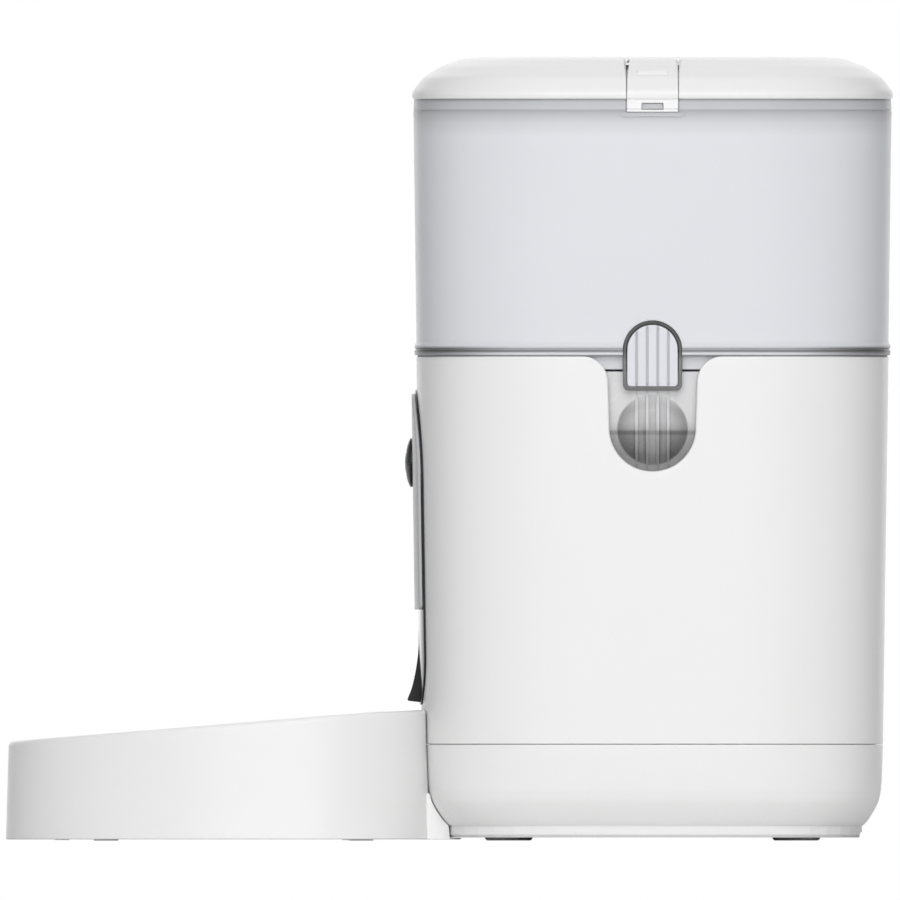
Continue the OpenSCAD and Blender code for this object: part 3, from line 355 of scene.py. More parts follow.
def tint(m, factor):
    nt = m.node_tree
    base = nt.nodes["Principled BSDF"].inputs["Base Color"]
    mix = nt.nodes.new("ShaderNodeMix")
    mix.data_type = "RGBA"
    mix.blend_type = "MULTIPLY"
    mix.inputs[0].default_value = 1
    nt.links.new(base.links[0].from_socket, mix.inputs["A"])
    nt.links.new(factor, mix.inputs["B"])
    nt.links.new(mix.outputs["Result"], base)
    return m


def painted_rib_shade(nt, x, ax, depth):
    """Painted shade: soft darker lines where the four inner ribs show through."""
    wave = mth(nt, "COSINE", mth(nt, "MULTIPLY", x, 2 * math.pi / RIB_PITCH))
    peak = mth(nt, "POWER", mth(nt, "MULTIPLY", wave, -1, True), 3)
    peak = mth(nt, "MULTIPLY", peak, fade(nt, ax, 8.2, 8.6, depth, 0))
    return mth(nt, "SUBTRACT", 1, peak)


WHITE = procedural("white_shell", (0.87, 0.87, 0.868), 0.36, 0.008, 1400, 0.03, coat=0.12)
WHITE_TRIM = procedural("white_trim", (0.87, 0.87, 0.868), 0.34, 0.008, 1300, 0.03, coat=0.1)
INNER = procedural("white_inner", (0.76, 0.76, 0.75), 0.5, 0.03, 700, 0.05)
BASE = procedural("white_base", (0.86, 0.86, 0.86), 0.5, 0.02, 2600, 0.15, speck=0.02)
SEAL = procedural("seal", (0.25, 0.255, 0.27), 0.6, 0.06, 800, 0.06)
CLEAR = procedural("hopper_clear", (0.83, 0.838, 0.875), 0.36, 0.01, 500, 0.02, transmission=0.1,
                   ior=1.3, coat=0.12)
TAB = procedural("tab_clear", (0.72, 0.72, 0.775), 0.32, 0.015, 400, 0.005, coat=0.1)
SMOKE_AND_SHADE = procedural("smoke_clear", (0.98, 0.98, 1.0), 0.25, 0.03, 400, 0.005, coat=0.25)
BEZEL = procedural("smoke_trim", (1.0, 1.0, 1.0), 0.25, 0.06, 500, 0.01)
nt = CLEAR.node_tree
x, ax, z = places(nt)
# Painted shade on the hopper wall by height: a dark shadow-gap line just above the body's top edge,
# and darker bands under the top band and just under the lid's edge.
wall = by_height(nt, z, [(TOP / MM - 6, 0.97), (TOP / MM + 1.2, 0.97), (TOP / MM + 1.6, 0.34),
                         (TOP / MM + 2.3, 0.34), (TOP / MM + 2.9, 0.7), (TOP / MM + 4, 0.93),
                         (TOP / MM + 7, 1.0), (RIM / MM - 15, 1.0), (RIM / MM - 9.5, 0.88),
                         (RIM / MM - 6.4, 0.72), (RIM / MM - 4.7, 0.62), (RIM / MM - 4.4, 0.74),
                         (RIM / MM - 1.2, 0.7), (RIM / MM - 0.4, 0.45)])
# Painted shade on the flange just above the body's top edge, growing darker towards the corners.
ends = fade(nt, z, TOP / MM - 0.2, TOP / MM + 0.1)
ends = mth(nt, "MULTIPLY", ends, fade(nt, z, TOP / MM + 3.2, TOP / MM + 4.2, 1, 0))
ends = mth(nt, "MULTIPLY", ends, fade(nt, ax, 52, 92, 0, 0.62))
tint(tint(CLEAR, wall), mth(nt, "SUBTRACT", 1, ends))
nt = TAB.node_tree
x, ax, z = places(nt)
# Painted shade lines across the tab where its inner ribs show through.
tint(TAB, painted_rib_shade(nt, x, ax, 0.4))
nt = BEZEL.node_tree
x, ax, z = places(nt)
# Smoky tone and painted shade together: the white base is darkened almost to black, most towards the
# top, where the surround's edge lies in shade.
tint(BEZEL, by_height(nt, z, [(TOP / MM - 14, 0.12), (TOP / MM - 2, 0.17), (TOP / MM + 1, 0.06),
                              (TOP / MM + 14, 0.025)]))
nt = SMOKE_AND_SHADE.node_tree
x, ax, z = places(nt)
DIMPLE = TOP / MM - 29.4
# Smoky tone and painted shade together by height: darkest deep in the notch, lighter towards the top,
# with a dark line just below the dimple's middle.
depth = by_height(nt, z, [(DIMPLE - 15, 0.2), (DIMPLE - 10, 0.17), (DIMPLE - 2.4, 0.29),
                          (DIMPLE - 1.9, 0.2), (DIMPLE - 0.9, 0.2), (DIMPLE + 0.2, 0.46),
                          (DIMPLE + 3, 0.6), (DIMPLE + 9, 0.67), (DIMPLE + 14, 0.7),
                          (DIMPLE + 25, 0.76)])
tint(SMOKE_AND_SHADE, depth)
# Painted shade inside the dimple's rim, fading out towards its top.
dz = mth(nt, "SUBTRACT", z, DIMPLE)
ring = mth(nt, "SQRT", mth(nt, "ADD", mth(nt, "MULTIPLY", x, x), mth(nt, "MULTIPLY", dz, dz)))
rim = mth(nt, "MULTIPLY", fade(nt, ring, 8, 13.8, 0, 0.42), fade(nt, ring, 13.9, 14.6, 1, 0))
rim = mth(nt, "MULTIPLY", rim, fade(nt, dz, 6, 13, 1, 0))
tint(SMOKE_AND_SHADE, mth(nt, "SUBTRACT", 1, rim))
# Painted light: a lighter middle strip below the dimple, leaving the sides in painted shade.
painted_light_strip = mth(nt, "MULTIPLY", fade(nt, ax, 6.5, 9.5, 0.22, 0), fade(nt, dz, -13, 2))
tint(SMOKE_AND_SHADE, mth(nt, "ADD", 1, painted_light_strip))
# Painted shade lines where the inner ribs show through.
tint(SMOKE_AND_SHADE, painted_rib_shade(nt, x, ax, 0.22))
DARK = procedural("dark_plastic", (0.035, 0.035, 0.038), 0.5, 0.15, 1500, 0.2)
GREYP = procedural("grey_plastic", (0.3, 0.3, 0.31), 0.5, 0.06, 1500, 0.15)
RUBBER = procedural("rubber_grey", (0.62, 0.62, 0.63), 0.7, 0.05, 1800, 0.3, speck=0.06)
SOFT = procedural("soft_rubber", (0.68, 0.69, 0.7), 0.6, 0.03, 900, 0.06)
STEEL = procedural("steel", (0.56, 0.57, 0.58), 0.28, 0.06, 300, 0.08, metallic=1.0,
                   stretch=(1, 1, 12))
SCREW = procedural("steel_screw", (0.5, 0.51, 0.52), 0.34, 0.08, 900, 0.08, metallic=1.0)
BOWL = procedural("bowl_steel", (0.62, 0.625, 0.63), 0.3, 0.05, 220, 0.06, metallic=1.0,
                  stretch=(1, 1, 30))
BRASS = procedural("brass_gear", (0.6, 0.42, 0.16), 0.3, 0.08, 500, 0.06, metallic=1.0)
GEAR = procedural("gear_plastic", (0.8, 0.8, 0.74), 0.45, 0.03, 900, 0.05)
BOARD = procedural("circuit_board", (0.02, 0.16, 0.07), 0.4, 0.25, 260, 0.1, speck=0.3)
CELL = procedural("cell_wrap", (0.06, 0.07, 0.1), 0.3, 0.1, 400, 0.05, coat=0.2)
PAPER = procedural("pack_paper", (0.8, 0.8, 0.75), 0.85, 0.05, 500, 0.35)
GLOSS = procedural("black_gloss", (0.012, 0.012, 0.014), 0.16, 0.2, 700, 0.01, coat=0.05,
                   specular=0.25)
SATIN = procedural("black_satin", (0.016, 0.016, 0.018), 0.34, 0.2, 1500, 0.1, specular=0.2)
FACE = procedural("panel_silver", (0.5, 0.505, 0.515), 0.34, 0.02, 1300, 0.02, coat=0.05,
                  specular=0.3)
LENS = procedural("lens_dark", (0.004, 0.004, 0.008), 0.05, 0.2, 300, 0.0, coat=1.0, ior=1.6)
LIGHT = procedural("light_lens", (0.45, 0.65, 0.85), 0.3, 0.04, 600, 0.02)

CAD_LOOKS = {
    "lid_seal": SEAL, "latch_pins": STEEL, "desiccant_holder": INNER, "desiccant_pack": PAPER,
    "desiccant_cover": INNER, "hopper_gasket": SEAL, "rotor": DARK, "agitator": SOFT,
    "base_plate": BASE, "base_screws": SCREW, "battery_box": DARK, "battery_cells": CELL,
    "battery_contacts": STEEL, "battery_cover": BASE, "deck": INNER, "deck_screws": SCREW,
    "hopper_seat": SMOKE_AND_SHADE, "gearbox_plate": INNER, "idler_pin": STEEL, "gear_motor": STEEL,
    "motor_pinion": BRASS, "idler_gear": GEAR, "output_gear": GEAR, "inner_chute": INNER,
    "ir_sensors": DARK, "main_board": BOARD, "board_parts": DARK, "front_board": BOARD,
    "camera_module": DARK, "status_light": LIGHT, "microphone": DARK, "speaker": DARK,
    "power_inlet": DARK, "reset_button": GREYP, "tray_base": BASE, "tray_feet": RUBBER,
    "tray_screws": SCREW, "lid": WHITE, "latch_left": WHITE_TRIM, "latch_right": WHITE_TRIM,
    "hopper": CLEAR, "release_bezels": BEZEL, "release_tab_left": TAB, "release_tab_right": TAB,
    "upper_body": WHITE, "lower_body": WHITE, "rubber_feet": RUBBER, "panel_plate": GLOSS,
    "front_panel": FACE, "camera_ring": GLOSS, "camera_lens": LENS, "feed_button": WHITE_TRIM,
    "spout": SATIN, "bowl_tray": WHITE, "food_bowl": BOWL}
for node, look in CAD_LOOKS.items():
    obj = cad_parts[node]
    obj.data.materials.clear()
    obj.data.materials.append(look)


def finish_piece(obj, look, slot, body, *nodes, angle=38):
    obj.data.materials.clear()
    obj.data.materials.append(look)
    shade(obj, angle)
    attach(obj, body)
    if nodes:
        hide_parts(*nodes)
    return obj


SEG = 288
WALL = 2.6 * MM


def local_front(y, z):
    """Distance of the body's front surface ahead of its middle, at y and z."""
    h = HALF + body_out(z)
    return h * (1 - (np.abs(y) / h) ** PLAN) ** (1 / PLAN)


# ---------------------------------------------------------------- camera
camera = bpy.data.objects.new("camera", bpy.data.cameras.new("camera"))
bpy.context.scene.collection.objects.link(camera)
camera.data.type = "ORTHO"
camera.data.ortho_scale = 0.36
camera.location = (0.0002, -3, 0.1562)
camera.rotation_euler = (math.pi / 2, 0, 0)
camera.data.clip_end = 50
bpy.context.scene.camera = camera

# ---------------------------------------------------------------- upper body
NOTCH_R = 17.3 * MM
NOTCH_Z = TOP - 28.9 * MM
FLARE = 10.6 * MM


def notch_outline(g=0.0):
    """Right and left halves of the finger notch, grown by g on its round edge."""
    right = arc(0, NOTCH_Z, NOTCH_R - 0.1 * MM + g, -90, 0, 24)
    right.append((NOTCH_R + 0.4 * MM + g, TOP - FLARE))
    for k in range(1, 13):
        t = math.radians(180 - 7.5 * k)
        r = FLARE - g * (1 - k / 12)
        right.append((NOTCH_R + 0.4 * MM + FLARE + r * math.cos(t), TOP - FLARE + r * math.sin(t)))
    right.append((NOTCH_R + FLARE + 0.4 * MM, TOP + 5 * MM))
    left = [(-x, z) for x, z in reversed(right[1:])]
    return np.array(right + left)


def notch_cutter(side):
    """Cuts the notch through one wall and rounds its outer edge."""
    rings = []
    for g, d in ((0, -16), (0, -0.9), (0.07, -0.55), (0.22, -0.27), (0.45, -0.1), (0.75, -0.02),
                 (1.0, 0.0), (1.4, 0.3), (1.4, 4)):
        p = notch_outline(g * MM)
        front = local_front(p[:, 0], np.minimum(p[:, 1], TOP - 0.9 * MM))
        rings.append(np.stack([BX + p[:, 0], side * (front + d * MM), p[:, 1]], 1))
    return skin("c", rings)


TOP_ROUND = 0.9 * MM
round_top = [(-TOP_ROUND * (1 - math.cos(t)), TOP - TOP_ROUND + TOP_ROUND * math.sin(t))
             for t in np.linspace(0, math.pi / 2, 5)]
rings = [plan_ring(body_out(SEAM) - 0.35 * MM, SEAM, SEG)]
for z in np.linspace(SEAM + 0.35 * MM, TOP - TOP_ROUND, 40):
    rings.append(plan_ring(body_out(z), z, SEG))
rings += [plan_ring(o, z, SEG) for o, z in round_top[1:]]
rings.append(plan_ring(-WALL - 0.2 * MM + 0.3 * MM, TOP, SEG))
rings.append(plan_ring(-WALL - 0.2 * MM, TOP - 0.3 * MM, SEG))
rings.append(plan_ring(TAPER - WALL, SEAM, SEG))
shell = skin("upper_shell", rings, loop=True)
carve(shell, [notch_cutter(1), notch_cutter(-1)])
WINDOW_HALF = 24.3 * MM
WINDOW_LOW = plate_lo.z + 3.3 * MM
FEED_STEM = 2.8 * MM
SHELL_CAMERA = 10 * MM
window = prism("c", rect(-WINDOW_HALF, WINDOW_HALF, WINDOW_LOW, WINDOW_LOW + 32.6 * MM),
               "x", BX - HALF - 0.01, BX - HALF + 0.012)
cam_z = (ring_lo.z + ring_hi.z) / 2
feed_z = (feed_lo.z + feed_hi.z) / 2


def shell_hole(r, z):
    return spin("c", [(r, -0.01), (r, 0.012)], (BX - HALF, 0, z), "x", 48, False)


carve(shell, [window, shell_hole(SHELL_CAMERA, cam_z), shell_hole(FEED_STEM, feed_z)])
finish_piece(shell, WHITE, "white_shell", "body", "upper_body")

# ---------------------------------------------------------------- lower body
low_profile = curve_through([(-10.2, 6), (-8.6, 7.7), (-7, 10), (-5.4, 12.7), (-3.9, 16),
                             (-3.05, 20)], 6)
rings = [plan_ring(o * MM, z * MM, SEG) for o, z in low_profile]
rings += [plan_ring(body_out(SEAM) - 0.8 * MM * (1 - t), z, SEG) for t, z in
          ((0.35, 24 * MM), (0.6, 29 * MM), (0.85, 34 * MM), (1, 37.6 * MM))]
seam_low = SEAM - 0.22 * MM
rings += [plan_ring(body_out(SEAM) - 0.1 * MM, seam_low - 0.15 * MM, SEG),
          plan_ring(body_out(SEAM) - 0.4 * MM, seam_low, SEG),
          plan_ring(-5.1 * MM, seam_low, SEG), plan_ring(-5.1 * MM, SEAM + 3.6 * MM, SEG),
          plan_ring(-6.7 * MM, SEAM + 3.6 * MM, SEG), plan_ring(-6.7 * MM, SEAM - 5 * MM, SEG),
          plan_ring(-4.7 * MM, SEAM - 7.6 * MM, SEG)]
rings += [plan_ring(o * MM - WALL, z * MM + (0 if z < 6.1 else 1 * MM), SEG)
          for o, z in reversed(low_profile[::6])]
pan = skin("lower_shell", rings, loop=True)
inlet_lo, inlet_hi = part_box("power_inlet")
inlet = ((inlet_lo.y + inlet_hi.y) / 2, (inlet_lo.z + inlet_hi.z) / 2)
INLET_HOLE = 5.4 * MM
RESET_HOLE = 2.9 * MM
for r, back_y in ((INLET_HOLE, inlet[0]), (RESET_HOLE, -inlet[0])):
    carve(pan, spin("c", [(r, -0.02), (r, 0.02)], (BX + HALF - 4 * MM, back_y, inlet[1]),
                    "x", 48, False))
finish_piece(pan, WHITE, "white_shell", "body", "lower_body")

# ---------------------------------------------------------------- lid
lid_points = [(1.6, 0), (1.8, 0.12), (1.2, 0.21), (-0.2, 0.32), (-1.8, 0.44), (-3.4, 0.535),
              (-6.6, 0.655), (-9.8, 0.774), (-13, 0.845), (-16.2, 0.917), (-19.4, 0.964),
              (-25.4, 0.99), (-29, 1), (-33, 0.985), (-36, 0.915), (-39, 0.86)]
lid_curve = [(o * MM, RIM + f * LID_H) for o, f in curve_through(lid_points, 5)]
dish = lid_curve[-1][1]
in_top = RIM + 0.7 * LID_H
rings = [plan_ring(0, in_top, SEG, hx=0.01, hy=0.01)]
rings += [plan_ring(o * MM, z, SEG) for o, z in (
    (-20, in_top), (-12, RIM + 9.4 * MM), (-7, RIM + 6.9 * MM), (-4.6, RIM + 3.4 * MM),
    (-4.6, RIM - SKIRT), (-2.2, RIM - SKIRT), (-2.2, RIM - 5 * MM), (-3.4, RIM - 5 * MM),
    (-3.4, RIM - 2.4 * MM), (-2.2, RIM - 2.4 * MM), (-2.2, RIM), (1.1, RIM))]
rings += [plan_ring(o, z, SEG) for o, z in [(lid_curve[0][0], RIM + 0.5 * MM)] + lid_curve[1:]]
for o, d in ((-41, 0.35), (-44, 0.5), (-50, 0.55), (-60, 0.55), (-75, 0.55)):
    rings.append(plan_ring(o * MM, dish - d * MM, SEG))
rings.append(plan_ring(0, dish - 0.55 * MM, SEG, hx=0.006, hy=0.006))
lid = skin("lid_skin", rings)
LATCH_HALF = (latch_hi.x - latch_lo.x) / 2


def gap_groove(side, sx):
    """V groove that rounds off the edges of the gap beside a latch, widest at the top."""
    path = [(HALF + o, z) for o, z in lid_curve if -24 * MM < o and z > RIM + 0.1 * LID_H]
    rings = []
    for k, (y, z) in enumerate(path):
        (y0, z0), (y1, z1) = path[max(k - 1, 0)], path[min(k + 1, len(path) - 1)]
        ny, nz = z0 - z1, y1 - y0
        length = math.hypot(ny, nz)
        ny, nz = -ny / length, -nz / length
        w = (0.25 + 0.75 * min(1, max(0, (z - RIM - 0.45 * LID_H) / (0.5 * LID_H)))) * MM
        c = BX + sx * (LATCH_HALF + 0.2 * MM)
        rings.append(np.array([(c - 3 * w, side * (y + 2 * w * ny), z + 2 * w * nz),
                               (c, side * (y - 1.3 * w * ny), z - 1.3 * w * nz),
                               (c + 3 * w, side * (y + 2 * w * ny), z + 2 * w * nz),
                               (c, side * (y + 3 * w * ny), z + 3 * w * nz)]))
    return skin("c", rings)


PIN_Z = (pin_lo.z + pin_hi.z) / 2
PIN_Y = HALF - 18 * MM
latch_outer = [(o, RIM + f * LID_H) for o, f in curve_through(
    [(-18, 0.946), (-16.2, 0.917), (-13, 0.845), (-9.8, 0.774), (-6.6, 0.655), (-3.4, 0.535),
     (-1.8, 0.44), (-0.2, 0.32), (1.2, 0.21), (1.7, 0.12)], 5)]
latch_outer = [(HALF + o * MM, z) for o, z in latch_outer]


def at_edge(points, g):
    return [(HALF + (o - g) * MM, RIM + (z - g) * MM) for o, z in points]


UNDER = [(-0.6, 2.4), (-2.2, 5), (-4.6, 7.4), (-8, 9.6), (-12, 11.4)]


def latch_room():
    g = 0.4
    return ([(HALF - 20.6 * MM, RIM + 0.035), (HALF + 0.008, RIM + 0.035),
             (HALF + 0.008, RIM - 1 * MM), (HALF - 0.3 * MM, RIM - 1 * MM),
             (HALF - 0.3 * MM, RIM + 0.2 * MM)] + at_edge(UNDER, g)
            + [(PIN_Y, PIN_Z - 2.4 * MM), (HALF - 20.6 * MM, PIN_Z - 2.4 * MM)])


for side in (1, -1):
    outline = rect(side * (HALF - 23 * MM), side * (HALF - 11 * MM), in_top - 3.4 * MM,
                   in_top + 0.4 * MM)
    block = prism("c", outline, "x", BX - LATCH_HALF - 3 * MM, BX + LATCH_HALF + 3 * MM)
    carve(lid, block, "UNION")
    carve(lid, prism("c", [(side * y, z) for y, z in latch_room()], "x",
                     BX - LATCH_HALF - 0.4 * MM, BX + LATCH_HALF + 0.4 * MM))
carve(lid, [gap_groove(a, b) for a in (1, -1) for b in (1, -1)])
finish_piece(lid, WHITE, "white_shell", "lid", "lid")


def latch(side):
    label = "left" if side > 0 else "right"
    foot = RIM - 5.2 * MM
    out = [(1.7, RIM + 0.35 * MM), (1.55, RIM + 0.08 * MM), (0.95, RIM - 0.1 * MM),
           (0.98, RIM - 1.2 * MM), (1.25, RIM - 3.8 * MM), (1.0, foot + 1.2 * MM),
           (1.55, foot + 1.05 * MM), (1.6, foot + 0.2 * MM), (1.4, foot), (0.1, foot),
           (0.1, RIM + 0.2 * MM)]
    section = (latch_outer + [(HALF + o * MM, z) for o, z in out] + at_edge(UNDER, 0)
               + [(PIN_Y, PIN_Z - 1.8 * MM)]
               + arc(PIN_Y, PIN_Z, 1.98 * MM, 265, 98, 10))
    flap = prism("latch_flap_" + label, [(side * y, z) for y, z in section], "x",
                 BX - LATCH_HALF, BX + LATCH_HALF)
    slot = ((-4.4, -4.3), (4.4, -4.3), (4.4, -1.8), (4.1, -1.5), (-4.1, -1.5), (-4.4, -1.8))
    slot = prism("c", [(BX + x * MM, RIM + z * MM) for x, z in slot], "y", *span(side, -3, 5))
    relief = prism("c", [(BX + x * MM, RIM + z * MM) for x, z in rect(-4.4, 4.4, -6, -4)],
                   "y", *span(side, -3, 1.05))
    carve(flap, [slot, relief])
    ridge = []
    for x in np.linspace(-6.4, 6.4, 33):
        s = 1 - max(0, (abs(x) - 5.6) / 0.8) ** 2
        ridge.append([(x, -6.9, 10.9), (x, -6.0, 10.95 + 0.55 * s), (x, -5.2, 10.75 + 0.62 * s),
                      (x, -4.6, 10.2 + 0.5 * s), (x, -4.1, 9.6 + 0.1 * s), (x, -5.4, 9.4)])
    bar = skin("bar", [np.array([(BX + x * MM, side * (HALF + y * MM), RIM + z * MM)
                                 for x, y, z in r]) for r in ridge])
    carve(flap, bar, "UNION")
    carve(flap, [gap_groove(side, b) for b in (1, -1)])
    return finish_piece(flap, WHITE_TRIM, "white_trim", "latch_" + label, "latch_" + label)


latch(1)
latch(-1)

# ---------------------------------------------------------------- hopper
ARCH_LOW = bez_lo.z
ARCH_HIGH = bez_hi.z
ARCH_W = bez_hi.x - bez_lo.x
FL = TOP + 0.3 * MM
FT = TOP + 4.6 * MM
CUP_Z = hop_lo.z
CUP_R = 50 * MM
BAND = RIM - 4.4 * MM
CUP_TOP = CUP_Z + 39 * MM
FUN = TOP + 22 * MM


def arch_outline(w, low, high, corner, x0=BX):
    r = w / 2
    pts = arc(x0, high - r, r, 0, 180, 32)
    pts += arc(x0 - r + corner, low + corner, corner, 180, 270, 6)
    pts += arc(x0 + r - corner, low + corner, corner, 270, 360, 6)
    return pts


def hop_ring(o, z):
    return plan_ring(o * MM, z, SEG)


def morph(t, lift, grow):
    """Ring of the funnel between the square hopper wall (t 0) and the round cup (t 1)."""
    e = t * t * (3 - 2 * t)
    h = (HALF - 2.4 * MM + grow) * (1 - t) + (CUP_R + grow) * t
    n = PLAN * (1 - e) + 2 * e
    return plan_ring(0, (FUN + lift) * (1 - t) + (CUP_TOP + lift) * t, SEG, n=n, hx=h, hy=h)


flange = [(-5.4, TOP - 5.4 * MM), (-3.7, TOP - 5.4 * MM), (-3.4, TOP - 5.1 * MM), (-3.4, FL),
          (0.35, FL), (0.8, FL + 0.45 * MM), (0.8, FL + 1.8 * MM), (0.3, FL + 2.15 * MM),
          (0.3, FL + 2.55 * MM), (0.7, FL + 2.9 * MM), (0.8, FT - 0.5 * MM), (0.62, FT),
          (0.2, FT + 0.6 * MM), (0, FT + 1.4 * MM)]
rings = [hop_ring(o, z) for o, z in flange]
for z in np.linspace(FT + 5 * MM, BAND - 3.2 * MM, 20):
    rings.append(hop_ring(1.2 * (z - FT) / (BAND - 3.2 * MM - FT), z))
rim = [(1.25, BAND - 1.2 * MM), (1.3, BAND - 0.5 * MM), (0.95, BAND - 0.35 * MM), (0.95, BAND),
       (1.15, BAND + 0.1 * MM), (1.25, BAND + 0.3 * MM), (1.0, RIM - 0.6 * MM),
       (0.95, RIM - 0.1 * MM), (-1.1, RIM), (-1.4, RIM - 0.3 * MM), (-1.3, BAND - 3.2 * MM)]
rings += [hop_ring(o, z) for o, z in rim]
for z in np.linspace(BAND - 12 * MM, FUN + 6 * MM, 8):
    rings.append(hop_ring(-1.2 - 1.2 * (BAND - z) / (BAND - FUN), z))
rings += [morph(t, 0, 0) for t in np.linspace(0, 1, 14)]
CUP_FLOOR = CUP_Z + 2.6 * MM
STUB_HOLE = 11.1 * MM
rings += [plan_ring(0, z, SEG, n=2, hx=r, hy=r) for r, z in (
    (CUP_R, CUP_FLOOR), (STUB_HOLE, CUP_FLOOR), (STUB_HOLE, CUP_Z), (CUP_R + 3 * MM, CUP_Z))]
rings += [morph(t, -2.4 * MM, 2.2 * MM) for t in np.linspace(1, 0.08, 13)]
rings += [hop_ring(-2.6, FUN - 6.5 * MM), hop_ring(-2.6, FT - 0.4 * MM),
          hop_ring(-5.4, FT - 2.4 * MM)]
hopper = skin("hopper_skin", rings, loop=True)
drop = rect(BX - 47 * MM, BX - 20 * MM, -20 * MM, 20 * MM)
carve(hopper, skin("c", [np.array([(x, y, z) for x, y in drop])
                         for z in (CUP_Z - 5 * MM, CUP_Z + 5 * MM)]))
for side in (1, -1):
    arch = arch_outline(ARCH_W + 0.2 * MM, ARCH_LOW - 0.1 * MM, ARCH_HIGH + 0.1 * MM, 2.4 * MM)
    carve(hopper, prism("c", arch, "y", *span(side, -6.4, 3)))
    w = LATCH_HALF + 2.8 * MM
    ledge = [(BX - w, RIM - 5.4 * MM), (BX - w + 1.2 * MM, RIM - 7 * MM),
             (BX + w - 1.2 * MM, RIM - 7 * MM), (BX + w, RIM - 5.4 * MM)]
    carve(hopper, prism("c", ledge, "y", *span(side, -0.5, 1.8)), "UNION")
    w = LATCH_HALF + 0.6 * MM
    bay = rect(BX - w, BX + w, RIM - 5.4 * MM, RIM + 1 * MM)
    carve(hopper, prism("c", bay, "y", *span(side, -0.2, 4)))
    nub = [(-4, -4), (4, -4), (4, -2.4), (3.6, -2), (-3.6, -2), (-4, -2.4)]
    nub = prism("c", [(BX + x * MM, RIM + z * MM) for x, z in nub], "y", *span(side, -1, 0.9))
    carve(hopper, nub, "UNION")
finish_piece(hopper, CLEAR, "hopper_clear", "hopper", "hopper")

# ---------------------------------------------------------------- release tabs and their surrounds
for side, label in ((1, "left"), (-1, "right")):
    ring = prism("surround_" + label, arch_outline(ARCH_W, ARCH_LOW, ARCH_HIGH, 2.4 * MM), "y",
                 *span(side, -2.6, 0.4))
    hole = arch_outline(ARCH_W - 2.8 * MM, ARCH_LOW + 1.4 * MM, ARCH_HIGH - 1.4 * MM, 1.6 * MM)
    carve(ring, prism("c", hole, "y", *span(side, -5, 3)))
    soften(ring, 0.25 * MM, 50, 3)
    finish_piece(ring, BEZEL, "smoke_trim", "hopper", *(["release_bezels"] if side > 0 else []))
    w = arch_hi.x - arch_lo.x
    tab = prism("release_tab_skin_" + label, arch_outline(w, arch_lo.z, arch_hi.z, 1.4 * MM), "y",
                *span(side, -2.4, 0.1))
    for x in (-6.4, -2.1, 2.1, 6.3):
        high = arch_hi.z - w / 2 + math.sqrt(w * w / 4 - (x * MM) ** 2) - 1 * MM
        rib = arch_outline(0.9 * MM, arch_lo.z + 0.8 * MM, high, 0.4 * MM, BX + x * MM)
        carve(tab, prism("c", rib, "y", *span(side, -0.5, 0.5)), "UNION")
    spring_leg = rect(BX - 1.5 * MM, BX + 1.5 * MM, TOP + 3 * MM, TOP + 5 * MM)
    carve(tab, prism("c", spring_leg, "y", *span(side, -6, -2.3)), "UNION")
    soften(tab, 0.2 * MM, 50, 2)
    finish_piece(tab, TAB, "tab_clear", "release_tab_" + label, "release_tab_" + label)

# ---------------------------------------------------------------- front panel
PANEL_HALF = (plate_hi.y - plate_lo.y) / 2
TOP_CORNER, FOOT_CORNER, SQUARE_CORNER = 34 * MM, 20 * MM, 3 * MM


def panel_outline(inset, low, high, square_foot):
    w = PANEL_HALF - inset
    big = TOP_CORNER - inset
    corner = FOOT_CORNER - inset if not square_foot else SQUARE_CORNER
    foot = low + (inset if not square_foot else 0)
    top = high - inset - big
    pts = [(y, high - inset) for y in np.linspace(w - big, big - w, 12)[1:-1]]
    pts = arc(w - big, top, big, 0, 90, 30) + pts + arc(big - w, top, big, 90, 180, 30)
    side = np.linspace(top, foot + corner, 16)[1:-1]
    pts += [(-w, z) for z in side]
    pts += arc(-w + corner, foot + corner, corner, 180, 270, 14)
    pts += [(y, foot) for y in np.linspace(-w + corner, w - corner, 24)[1:-1]]
    pts += arc(w - corner, foot + corner, corner, 270, 360, 14)
    pts += [(w, z) for z in side[::-1]]
    return np.array(pts)


def front_points(p, proud):
    return np.stack([BX - local_front(p[:, 0], p[:, 1]) - proud, p[:, 0], p[:, 1]], 1)


def front_patch(name, make, layers, depth):
    """A plate on the body's curved front: layers of (inset, proud), then rings in to its middle."""
    edge = [front_points(make(inset), proud) for inset, proud in layers]
    p = make(layers[-1][0])
    mid = np.array([0, (p[:, 1].min() + p[:, 1].max()) / 2])
    face = [front_points(mid + (p - mid) * s, layers[-1][1]) for s in np.linspace(1, 0.03, 22)[1:]]
    p = make(layers[0][0])
    inner = [front_points(mid + (p - mid) * s, depth) for s in np.linspace(0.03, 1, 12)]
    obj = skin(name, inner + edge + face)
    fix_normals(obj)
    return obj


PLOW, PHIGH = plate_lo.z, plate_hi.z
FACE_FOOT = face_lo.z
plate = front_patch("panel_plate_skin", lambda i: panel_outline(i, PLOW, PHIGH, False),
                    [(0, 0.1 * MM), (0, 0.5 * MM), (0.12 * MM, 0.7 * MM), (0.4 * MM, 0.8 * MM)],
                    0.02 * MM)
face = front_patch("panel_face_skin", lambda i: panel_outline(1.6 * MM + i, FACE_FOOT, PHIGH, True),
                   [(0, 0.85 * MM), (0, 1.6 * MM), (0.15 * MM, 1.95 * MM), (0.5 * MM, 2.2 * MM)],
                   0.8 * MM)


def front_hole(r, z):
    return spin("c", [(r, -0.02), (r, 0.02)], (BX - HALF, 0, z), "x", 64, False)


